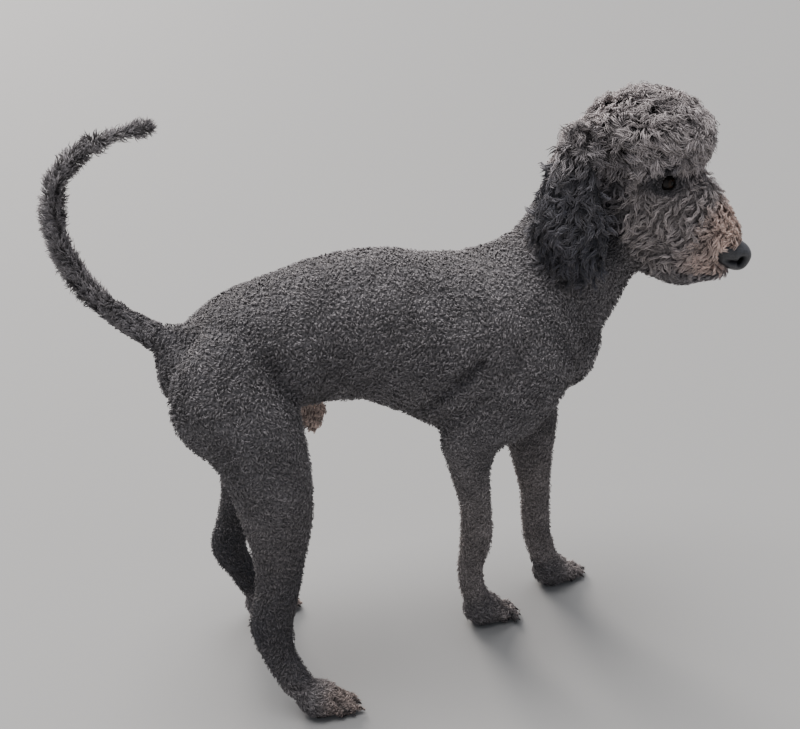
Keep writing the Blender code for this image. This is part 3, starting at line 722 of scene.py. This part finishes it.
def spread_out(spot, count, rng):
    """Keeps this many of the roots, each the farthest from those kept before it, and closer together where
    the coat is short."""
    near_size = np.clip(spot["thin"], 0.45, 1)
    kept = [int(rng.integers(len(near_size)))]
    room = np.full(len(near_size), np.inf)
    for _ in range(count - 1):
        room = np.minimum(room, length(spot["place"] - spot["place"][kept[-1]]) / near_size)
        kept.append(int(room.argmax()))
    return {field: values[kept] for field, values in spot.items()}


def blades(root, normal, lie, settings, rings):
    """The centreline and width axes of each strand. Its direction leans from the upright by a tilt that runs
    from rise to fall and swings by lift, and turns about the upright by spin and a sideways wave a quarter
    turn behind, which makes a loose corkscrew. The line is the running sum of it."""
    side = np.cross(normal, lie)
    share = np.linspace(0, 1, rings + 1)[None, :]
    tilt = settings["rise"] * (1 - share) + settings["fall"] * share
    swing = 2 * math.pi * settings["waves"] * share + settings["phase"]
    tilt = (tilt + settings["lift"] * np.cos(swing) * np.minimum(1, 3 * share))[:, :, None]
    turn = (settings["spin"] * share + settings["wave"] * np.sin(swing))[:, :, None]
    flat = np.cos(turn) * lie[:, None] + np.sin(turn) * side[:, None]
    across = np.cos(turn) * side[:, None] - np.sin(turn) * lie[:, None]
    ahead = np.cos(tilt) * normal[:, None] + np.sin(tilt) * flat
    steps = ahead[:, :-1] * (settings["length"] / rings)[:, :, None]
    line = root[:, None] + np.concatenate([np.zeros_like(steps[:, :1]), np.cumsum(steps, 1)], 1)
    return line, across, np.cross(ahead, across), share[0]


def tube_walls(rings, around):
    """The faces between the rings of a tube. Each takes a point, the one after it along the tube, and the two
    beside them, and the last in a ring is beside the first."""
    ring, spot = np.indices((rings - 1, around)).reshape(2, -1)
    first, beside = ring * around + spot, ring * around + (spot + 1) % around
    return np.stack([first, first + around, beside + around, beside], 1)


def blade_faces(count, rings):
    """Corners of each strand's faces: three sides between rings, three at the tip and one at the root. Then
    the share of the way along the strand and round it at each corner."""
    walls = tube_walls(rings, 3)
    edge = walls[:, 0] % 3
    last = 3 * (rings - 1)
    tips = np.array([[last + side, last + 3, last + (side + 1) % 3] for side in range(3)])
    one = np.concatenate([walls.ravel(), tips.ravel(), [0, 1, 2]])
    sizes = np.concatenate([np.full(len(walls), 4), np.full(3, 3), [3]])
    rows = (one[None, :] + np.arange(count)[:, None] * (3 * rings + 1)).ravel()
    along = np.concatenate([walls.ravel() // 3, np.tile([rings - 1, rings, rings - 1], 3), [0, 0, 0]]) / rings
    tip_spots = np.arange(3)[:, None] + [0, 0.5, 1]
    around = np.concatenate([np.stack([edge, edge, edge + 1, edge + 1], 1).ravel(), tip_spots.ravel(),
                             [0, 1, 2]]) / 3
    return rows, np.tile(sizes, count), along, around


HAIRS_ACROSS = 7  # fine lines over the width of a strand
HAIR_SHINE = {"Specular IOR Level": 0.35, "Sheen Weight": 0.25, "Sheen Roughness": 0.4,
              "Sheen Tint": (0.9, 0.82, 0.78, 1)}


def coat_material(name, root_shade, tip_shade, tip_tint):
    """Hair: the markings and painted shade, darker at the root as painted shade and paler to the tip as
    painted light, each clump and strand a little different, and clumps on the crests of the coat's ripple
    painted lighter.
    """
    material, tree, shader, _ = new_material(name)
    along, strand, clump, around = stored_four(tree, "strand")
    hairs = tree.nodes.new("ShaderNodeCombineXYZ")
    for value, stretch, socket in zip((around, along, strand), (HAIRS_ACROSS, 1.5, 60), hairs.inputs):
        tree.links.new(number(tree, "MULTIPLY", value, stretch), socket)
    fine = noise(tree, hairs.outputs[0], 1.0, 1)
    # Painted shade towards the root and painted light towards the tip.
    light = spread(tree, along, 0.0, 0.8, root_shade, tip_shade)
    for value, low, high, darkest, palest in (
            (strand, 0, 1, 0.84, 1.16), (clump, 0, 1, 0.66, 1.38), (fine, 0.3, 0.7, 0.78, 1.22)):
        light = number(tree, "MULTIPLY", light, spread(tree, value, low, high, darkest, palest))
    faded = number(tree, "MULTIPLY", spread(tree, along, 0.5, 1.0, 0, 0.28), clump)
    colour = blended(tree, faded, lit(tree, marked(tree)[0], light), tip_tint)
    rough = spread(tree, strand, 0, 1, 0.5, 0.72)
    finish(tree, shader, {"Base Color": colour, "Roughness": rough, **HAIR_SHINE})
    bump(tree, shader, fine, 0.5, 0.0008)
    return material


CHOICES = 7  # roots to choose each clump's place from
CREST_PULL = 0.22  # how far tips draw to the crests, as a share of the distance between crests
TIPS_CLOSE = 0.30  # how far tips draw to the middle of their clump
ROOT_DEPTH = 0.0012
RIDGE = 0.8  # height of a strand's third edge, as a share of half its width
OVER_FLOOR = 0.0004
PATCH = 0.003  # the part of the map that one strand takes


def grown(name, wanted, clumps, strands, rings, loose, crest, material, slot, seed):
    """A piece of coat on the wanted skin, as the table of coats says: clumps of strands that run side by
    side, with chance differences by how loose the coat is. Neighbours curl alike, and tips draw together
    towards the crests of a fine ripple."""
    rng = np.random.default_rng(seed)
    spot = scattered(wanted, clumps if strands == 1 else CHOICES * clumps, rng)
    if strands > 1:
        spot = spread_out(spot, clumps, rng)
    table = spot["kinds"] @ np.array([COAT[kind] for kind in KINDS])
    settings = dict(zip(COAT_FIELDS, table.T))
    short = np.clip(spot["thin"], 0.2, 1)

    def wander(size, seed):
        """A smooth chance value for each clump, much alike for clumps nearer than this."""
        return ripple(spot["place"], size, seed)[0]

    height, uphill = ripple(spot["place"], crest, 13)
    # Clumps high on the ripple are painted lighter and those low on it darker, as lit crests and shaded
    # troughs, with some chance.
    crest_light_and_tone = np.clip(0.5 + 0.45 * height + 0.15 * rng.normal(size=clumps), 0, 1)
    swirl = 0.8 * wander(0.050, 11) + 0.7 * wander(0.018, 12)
    swirl = swirl + 0.35 * loose * rng.normal(size=clumps)
    flat = spot["lie"] - (spot["lie"] * spot["normal"]).sum(1, keepdims=True) * spot["normal"]
    flat = unit(flat + 1e-6)
    side = np.cross(spot["normal"], flat)
    flat = unit(np.cos(swirl)[:, None] * flat + np.sin(swirl)[:, None] * side)
    phase = math.pi * wander(2.2 * crest, 14) + 0.4 * rng.normal(size=clumps)
    spin = settings["spin"] * np.tanh(3 * wander(1.6 * crest, 15))

    def each(values, chance=0.0):
        """A clump's value for each of its strands, changed by up to this share."""
        many = np.repeat(values, strands, axis=0)
        return many * (1 + chance * rng.uniform(-1, 1, len(many))) if chance else many

    normal, flat = each(spot["normal"]), each(flat)
    side = np.cross(normal, flat)
    count = clumps * strands
    angle = rng.uniform(0, 2 * math.pi, count)
    radius = each(settings["clump"] * short) * np.sqrt(rng.random(count))
    offset = (radius * np.cos(angle))[:, None] * flat + (radius * np.sin(angle))[:, None] * side
    settings = {
        "length": each(settings["length"] * short, 0.28 * loose),
        "rise": np.radians(each(settings["rise"]) + rng.normal(0, 8 * loose, count)),
        "fall": np.radians(each(settings["fall"]) + rng.normal(0, 12 * loose, count)),
        "wave": np.radians(each(settings["wave"], 0.4 * loose)),
        "lift": np.radians(each(settings["lift"], 0.4 * loose)),
        "spin": np.radians(each(spin)) + rng.normal(0, 0.2 * loose, count),
        "waves": each(settings["waves"], 0.2 * loose),
        "phase": each(phase) + rng.normal(0, 0.5 * loose, count),
        "width": each(settings["width"] * (0.5 + 0.5 * short), 0.25),
    }
    settings = {field: values[:, None] for field, values in settings.items()}
    root = each(spot["place"]) + offset - ROOT_DEPTH * normal
    line, across, out, share = blades(root, normal, flat, settings, rings)
    gather = (CREST_PULL * crest if strands == 1 else 0) * each(uphill)
    line = line - offset[:, None] * (TIPS_CLOSE * share)[:, None] + gather[:, None] * share[:, None]
    taper = np.sqrt(1 - share**3) * (0.6 + 0.4 * np.minimum(1, 3 * share))
    half = (settings["width"] * taper)[:, :-1, None] / 2
    core, beside = line[:, :-1], across[:, :-1] * half
    rims = [core - beside, core + out[:, :-1] * half * RIDGE, core + beside]
    shell = np.stack(rims, 2).reshape(count, 3 * rings, 3)
    points = np.concatenate([shell, line[:, -1:]], 1)
    points[..., 2] = np.maximum(points[..., 2], OVER_FLOOR)

    corners, sizes, spots_along, spots_round = blade_faces(count, rings)
    in_each = 3 * rings + 1
    coat = bpy.data.meshes.new(name)
    coat.vertices.add(count * in_each)
    coat.vertices.foreach_set("co", points.astype(np.float32).ravel())
    coat.loops.add(len(corners))
    coat.loops.foreach_set("vertex_index", corners.astype(np.int32))
    coat.polygons.add(len(sizes))
    coat.polygons.foreach_set("loop_start", (np.cumsum(sizes) - sizes).astype(np.int32))
    coat.update(calc_edges=True)
    along = np.append(np.repeat(share[:-1], 3), 1.0)
    round_strand = np.append(np.tile([0, 0.5, 1], rings), 0.5)
    name_point_colours(coat, "strand", np.stack([
        np.tile(along, count), np.repeat(rng.random(count), in_each),
        np.repeat(each(crest_light_and_tone), in_each), np.tile(round_strand, count)], 1))
    marks_and_shade = np.repeat(each(spot["markings_and_shade"]), in_each, axis=0)
    name_point_colours(coat, "markings_and_shade", marks_and_shade * [1, 1, 1, 0])
    patch = np.stack([spots_round, spots_along], 1)[None] - 0.5
    spots = each(spot["map"])[:, None] + patch * PATCH
    spots = np.clip(spots, 0, 1).astype(np.float32)
    coat.uv_layers.new(name="OFBake").uv.foreach_set("vector", spots.ravel())
    return dressed(placed(name, coat), material)


CLIPPED_COAT = coat_material("clipped_coat", 0.30, 1.08, (0.34, 0.31, 0.31, 1))
LONG_COAT = coat_material("long_coat", 0.58, 1.38, (0.34, 0.31, 0.32, 1))
FACE_COAT = coat_material("face_coat", 0.80, 1.45, (0.42, 0.35, 0.33, 1))

# Ways of growing: strands to a clump, rings to a strand, how much chance there is in it, and how far apart
# the crests of its curls or locks are.
CURL, LOCK, WAVE = 0.009, 0.016, 0.012
CLIPPED = {"strands": 1, "rings": 2, "loose": 1.0, "crest": CURL, "material": CLIPPED_COAT}
SHORT = {**CLIPPED, "rings": 3, "loose": 0.8}
EAR_LOCKS = {"strands": 7, "rings": 5, "loose": 0.5, "crest": LOCK, "material": LONG_COAT}
CROWN_LOCKS = {**EAR_LOCKS, "strands": 9}
WAVED = {"strands": 5, "rings": 4, "loose": 0.6, "crest": LOCK, "material": FACE_COAT}
BODY_PIECES = {
    "coat_neck": ["neck"],
    "coat_chest": ["chest"],
    "coat_loin": ["loin"],
    "coat_rump": ["rump"],
    "coat_forelegs": ["forearm_right", "forearm_left", "pastern_right", "pastern_left"],
    "coat_thighs": ["thigh_right", "thigh_left"],
    "coat_shanks": ["shank_right", "shank_left", "hock_right", "hock_left"],
}
CLIPPED_HAIRS = 69000  # places to a square metre
on_sheath = sheath[corner].mean(1) > 0.5
for seed, (name, nodes) in enumerate(BODY_PIECES.items(), 100):
    wanted = on_parts(nodes) * ~on_sheath
    count = int((triangle_area * wanted).sum() * CLIPPED_HAIRS)
    grown(name, wanted, count, slot="coat_grey", seed=seed, **CLIPPED)

grown("coat_sheath", on_sheath, 900, slot="coat_tan", seed=118, **{**SHORT, "material": FACE_COAT})
PAWS = ("forepaw_right", "forepaw_left", "hindpaw_right", "hindpaw_left")
grown("coat_feet", on_parts(PAWS), 4400, slot="coat_tan", seed=120, **SHORT)
TAIL = ("tail_base", "tail_middle", "tail_tip")
grown("coat_tail", on_parts(TAIL), 7300, slot="coat_grey", seed=130, **SHORT)

for seed, side in enumerate(SIDES, 140):
    grown("coat_ear_" + side, on_parts(["ear_" + side]), 460, slot="coat_dark", seed=seed, **EAR_LOCKS)
on_head = on_parts(["head"])
on_crown = weight["topknot"][corner].mean(1) > 0.5
right_half = (sides.mean(1) - BETWEEN_EYES) @ LEFT < 0
for seed, side in enumerate(SIDES, 150):
    half = right_half if side == "right" else ~right_half
    grown("coat_topknot_" + side, on_head * on_crown * half, 660, slot="coat_grey", seed=seed, **CROWN_LOCKS)
grown("coat_cheeks", on_head * ~on_crown, 1100, slot="coat_grey", seed=155, **WAVED)
on_muzzle = on_parts(["muzzle", "lower_jaw"])
grown("coat_muzzle", on_muzzle, 1250, slot="coat_tan", seed=160, **{**WAVED, "crest": WAVE})


# ----------------------------------------------------------------------------
# The eyes. A wet ball with a dark brown iris, a round black pupil and a slightly bulging clear front. Each
# sits in its socket behind the lids, which leave only an almond of it bare.

CORNEA_BULGE = 0.07
CORNEA_ANGLE = 0.55


def turned_outwards(mesh):
    """Turns all faces of a closed mesh outwards."""
    form = bmesh.new()
    form.from_mesh(mesh)
    bmesh.ops.recalc_face_normals(form, faces=form.faces)
    form.to_mesh(mesh)
    form.free()


def gridded(name, point, rows, columns):
    """A closed mesh from a ball's two angles: point gives places from the angle off the axis and the angle
    round it. Rows run from pole to pole, columns close on themselves, and each pole is a single vertex."""
    off_axis = np.linspace(0, math.pi, rows + 1)[1:-1]
    around = np.arange(columns) * 2 * math.pi / columns
    off, round_axis = np.meshgrid(off_axis, around, indexing="ij")
    ends_off, ends_round = np.array([0.0, math.pi]), np.zeros(2)
    off = np.concatenate([off.ravel(), ends_off])
    places = point(off, np.concatenate([round_axis.ravel(), ends_round]))
    column = np.arange(columns)
    after = (column + 1) % columns
    near, far, last = (rows - 1) * columns, (rows - 1) * columns + 1, (rows - 2) * columns
    caps = [*np.stack([column, after, np.full(columns, near)], 1).tolist(),
            *np.stack([last + after, last + column, np.full(columns, far)], 1).tolist()]
    made = bpy.data.meshes.new(name)
    made.from_pydata(places.tolist(), [], tube_walls(rows - 1, columns).tolist() + caps)
    turned_outwards(made)
    return made, off


PUPIL = (0.002, 0.002, 0.002)
IRIS_RINGS = ((0.0, PUPIL), (0.24, PUPIL), (0.27, (0.024, 0.011, 0.006)), (0.50, (0.018, 0.009, 0.005)),
              (0.58, (0.008, 0.006, 0.005)), (1.0, (0.012, 0.009, 0.008)))


def eye_material():
    """A black pupil, a brown iris with fine rays, darker towards its edge, under a wet clear coat."""
    material, tree, shader, where = new_material("eye")
    rays = spread(tree, noise(tree, where, 0.0008), 0.3, 0.7, -0.02, 0.02)
    ramp = tree.nodes.new("ShaderNodeValToRGB")
    while len(ramp.color_ramp.elements) < len(IRIS_RINGS):
        ramp.color_ramp.elements.new(0.5)
    for element, (spot, colour) in zip(ramp.color_ramp.elements, IRIS_RINGS):
        element.position = spot
        element.color = (*colour, 1)
    tree.links.new(number(tree, "ADD", stored(tree, "off_gaze"), rays), ramp.inputs[0])
    finish(tree, shader, {"Base Color": ramp.outputs[0], "Roughness": 0.25, "Specular IOR Level": 0.2,
                          "Coat Weight": 0.12, "Coat Roughness": 0.06})
    return material


EYE_MATERIAL = eye_material()
for side, eye in EYES.items():
    axes = eye_axes(side)

    def eyeball(off, around):
        """A sphere about the gaze, whose front stands out by a smooth bulge."""
        radius = EYE_RADIUS * (1 + CORNEA_BULGE * bell(off, CORNEA_ANGLE) ** 2)
        ball = np.stack([np.sin(off) * np.cos(around), np.sin(off) * np.sin(around), np.cos(off)], 1)
        return eye + (ball * radius[:, None]) @ axes

    ball_mesh, off_gaze = gridded("eyeball_" + side, eyeball, 32, 48)
    ball_mesh.attributes.new("off_gaze", "FLOAT", "POINT").data.foreach_set("value", off_gaze)
    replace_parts(dressed(placed("eyeball_" + side, ball_mesh), EYE_MATERIAL), "eye_" + side)


# ----------------------------------------------------------------------------
# The nose. Black pebbled leather: a rounded block with a flat top, a groove down its front and two nostrils
# that open forwards and run back into slits at the sides.

NOSE_SQUARENESS = 0.70
NOSTRIL = (math.radians(56), 0.0)  # turned from straight ahead, and raised


def nostril_depth(ball):
    """How deep in a nostril each direction is: a bell curve round its middle, and a slit that runs back from
    it."""
    turned = np.arctan2(np.abs(ball[:, 1]), ball[:, 0])
    raised = np.arcsin(np.clip(ball[:, 2], -1, 1))
    slit_line = NOSTRIL[1] - 0.35 * np.clip(turned - NOSTRIL[0], 0, 2)
    slit = bell(raised - slit_line, 0.13) * ease(turned, 0.82, 1.02) * fade(turned, 1.45, 1.70)
    hollow = np.exp(-(((turned - NOSTRIL[0]) / 0.24) ** 2) - (((raised - NOSTRIL[1]) / 0.26) ** 2))
    return np.maximum(hollow, 0.6 * slit)


def nose_place(off, around):
    """A rounded block: the ball's three shares are each raised to a power below one. A groove is sunk along
    the front's middle and a hollow at each nostril."""
    ball = np.stack([np.cos(off), np.sin(off) * np.cos(around), np.sin(off) * np.sin(around)], 1)
    block = np.sign(ball) * np.abs(ball) ** NOSE_SQUARENESS
    block = block * np.array([1.0, 1.0, 0.95]) * (1 - 0.10 * np.clip(-ball[:, 2:3], 0, 1))
    raised = np.arcsin(np.clip(ball[:, 2], -1, 1))
    groove = bell(ball[:, 1], 0.07) * (ball[:, 0] > 0) * ease(-raised, -0.5, 0.1)
    block = block * (1 - 0.10 * groove - 0.32 * nostril_depth(ball))[:, None]
    return NOSE + (block * NOSE_RADII) @ NOSE_AXES


def nose_material():
    """Black leather with fine pebbles, painted paler and bluish on the pebbles as sky light and darker in the
    cracks between them as painted shade, with painted shade in the dull nostrils.
    """
    material, tree, shader, where = new_material("nose_leather")
    cells = tree.nodes.new("ShaderNodeTexVoronoi")
    finish(tree, cells, {"Vector": where, "Scale": 750, "Randomness": 0.9})
    pebble, inside = cells.outputs["Distance"], stored(tree, "nostril")
    # The pebbles painted paler and bluish as sky light, the cracks between them darker as painted shade.
    pebbles_and_sky_light = blended(tree, spread(tree, pebble, 0.2, 0.7), (0.070, 0.072, 0.082, 1), (0.022, 0.022, 0.025, 1))
    finish(tree, shader, {
        # Painted shade in the nostrils.
        "Base Color": blended(tree, spread(tree, inside, 0.15, 0.65), pebbles_and_sky_light, (0.004, 0.004, 0.005, 1)),
        "Roughness": spread(tree, noise(tree, where, 0.004, 3), 0.3, 0.7, 0.34, 0.50),
        "Specular IOR Level": spread(tree, inside, 0.1, 0.6, 0.75, 0.03),
    })
    bump(tree, shader, spread(tree, pebble, 0.1, 0.7, 1, 0), 0.5, 0.0004)
    return material


nose_mesh, _ = gridded("nose_leather", nose_place, 90, 128)
own = (read(nose_mesh.vertices, "co", 3) - NOSE) @ NOSE_AXES.T / NOSE_RADII
nostril = nostril_depth(unit(np.sign(own) * np.abs(own) ** (1 / NOSE_SQUARENESS)))
nose_mesh.attributes.new("nostril", "FLOAT", "POINT").data.foreach_set("value", nostril)
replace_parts(dressed(placed("nose_leather", nose_mesh), nose_material()), "nose")


# ----------------------------------------------------------------------------
# The claws. Four on each paw, of blunt dark horn. Each grows out of the tip of its toe with its root sunk
# in the skin, curves down and is half hidden by the hair.

CLAW_HEIGHT = 0.0105
CLAW_LENGTH = 0.012
CLAW_RADIUS = 0.0026
CLAW_RINGS = 9
CLAW_SIDES = 12
CLAW_SUNK = 0.006  # how far the claw's root lies inside the toe


def claw_points(root, way):
    """Rings along a curve that leaves the toe and turns down, each narrower than the last, to a blunt tip."""
    share = np.linspace(0, 1, CLAW_RINGS)[:, None]
    bend = np.radians(12 + 50 * share)
    down = np.array([0, 0, -1.0])
    side = np.cross(way, down)
    ahead = np.cos(bend) * way + np.sin(bend) * down
    steps = ahead[:-1] * CLAW_LENGTH / (CLAW_RINGS - 1)
    line = root + np.concatenate([np.zeros((1, 3)), np.cumsum(steps, 0)])
    top = np.cross(side, ahead)
    radius = CLAW_RADIUS * np.sqrt(np.clip(1 - share**2.2, 0.02, 1)) * (1 - 0.35 * share)
    angle = np.arange(CLAW_SIDES) * 2 * math.pi / CLAW_SIDES
    ring = np.cos(angle)[None, :, None] * side * 0.8 + np.sin(angle)[None, :, None] * top[:, None]
    return line[:, None] + ring * radius[:, :, None]


def claw_material():
    """Dark horn with a fine uneven grain."""
    material, tree, shader, where = new_material("claw_horn")
    grain = noise(tree, where, 0.0012, 3)
    finish(tree, shader, {
        "Base Color": blended(tree, spread(tree, grain, 0.35, 0.7), (0.012, 0.010, 0.010, 1),
                              (0.045, 0.036, 0.030, 1)),
        "Roughness": spread(tree, grain, 0.3, 0.7, 0.3, 0.5),
    })
    bump(tree, shader, grain, 0.25, 0.0003)
    return material


claw_places, claw_faces = [], []
for paw, heading in PAW_HEADING.items():
    corners = read(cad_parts[paw].data.vertices, "co", 3)
    sole = corners[corners[:, 2] < 0.0005].mean(0) * [1, 1, 0]
    for fan in TOE_FAN:
        angle = math.radians(heading + fan)
        way = np.array([math.cos(angle), math.sin(angle), 0])
        off = skin_place - sole
        reach = off @ way
        beside = np.abs(off @ [-way[1], way[0], 0])
        at_height = np.abs(off[:, 2] - CLAW_HEIGHT) < 0.005
        toe = (beside < 0.004) & at_height & (reach < 0.09)  # the skin ahead of this toe's root
        root = sole + way * (reach[toe].max() - CLAW_SUNK) + [0, 0, CLAW_HEIGHT]
        start = len(claw_places) * CLAW_RINGS * CLAW_SIDES
        claw_places.append(claw_points(root, way).reshape(-1, 3))
        claw_faces += (tube_walls(CLAW_RINGS, CLAW_SIDES)[:, [0, 3, 2, 1]] + start).tolist()
        claw_faces.append([start + side for side in reversed(range(CLAW_SIDES))])
        claw_faces.append([start + (CLAW_RINGS - 1) * CLAW_SIDES + side for side in range(CLAW_SIDES)])
claw_mesh = bpy.data.meshes.new("claws")
claw_mesh.from_pydata(np.concatenate(claw_places).tolist(), [], claw_faces)
turned_outwards(claw_mesh)
dressed(placed("claws", claw_mesh), claw_material())


# ----------------------------------------------------------------------------
# The floor, the lights and the camera. A plain pale floor under a cool even sky, a broad soft light overhead,
# and a warm one behind the dog that edges its coat.

FLOOR_HALF = 90.0
floor_mesh = bpy.data.meshes.new("floor")
floor_mesh.from_pydata([(FLOOR_HALF * x, FLOOR_HALF * y, 0) for x, y in ((-1, -1), (1, -1), (1, 1), (-1, 1))],
                       [], [(0, 1, 2, 3)])
floor_material, floor_tree, floor_shader, _ = new_material("floor")
finish(floor_tree, floor_shader, {"Base Color": (0.27, 0.27, 0.267, 1), "Roughness": 0.8})
floor_mesh.materials.append(floor_material)
placed("floor", floor_mesh)

world = bpy.data.worlds.new("studio")
bpy.context.scene.world = world
world.use_nodes = True
sky = world.node_tree.nodes["Background"]
finish(world.node_tree, sky, {"Color": (0.86, 0.90, 1.0, 1), "Strength": 0.38})


def soft_sun(name, place, strength, spread_degrees, colour):
    """A broad even light that comes from the direction of this place."""
    lamp = bpy.data.lights.new(name, "SUN")
    lamp.energy = strength
    lamp.angle = math.radians(spread_degrees)
    lamp.color = colour
    light = placed(name, lamp)
    light.location = place
    light.rotation_euler = (-Vector(place)).to_track_quat("-Z", "Y").to_euler()


soft_sun("overhead", (-0.3, 0.5, 3.0), 4.6, 50, (1.0, 0.98, 0.97))
soft_sun("behind", (-0.6, 2.6, 1.6), 3.4, 25, (1.0, 0.93, 0.88))

CAMERA_PLACE = (-0.292485, -1.217169, 1.00827)
CAMERA_HEADING, CAMERA_PITCH, CAMERA_ROLL = 0.215554, 0.404369, -0.0523599
lens = bpy.data.cameras.new("camera")
lens.lens = 42.75
lens.sensor_width = 36
camera = placed("camera", lens)
level = Vector((math.sin(CAMERA_HEADING), math.cos(CAMERA_HEADING), 0))
right = Vector((math.cos(CAMERA_HEADING), -math.sin(CAMERA_HEADING), 0))
forward = level * math.cos(CAMERA_PITCH) - Vector((0, 0, math.sin(CAMERA_PITCH)))
up = level * math.sin(CAMERA_PITCH) + Vector((0, 0, math.cos(CAMERA_PITCH)))
rolled_right = right * math.cos(CAMERA_ROLL) + up * math.sin(CAMERA_ROLL)
rolled_up = up * math.cos(CAMERA_ROLL) - right * math.sin(CAMERA_ROLL)
turn = Matrix((rolled_right, rolled_up, -forward)).transposed().to_4x4()
camera.matrix_world = Matrix.Translation(CAMERA_PLACE) @ turn
bpy.context.scene.camera = camera
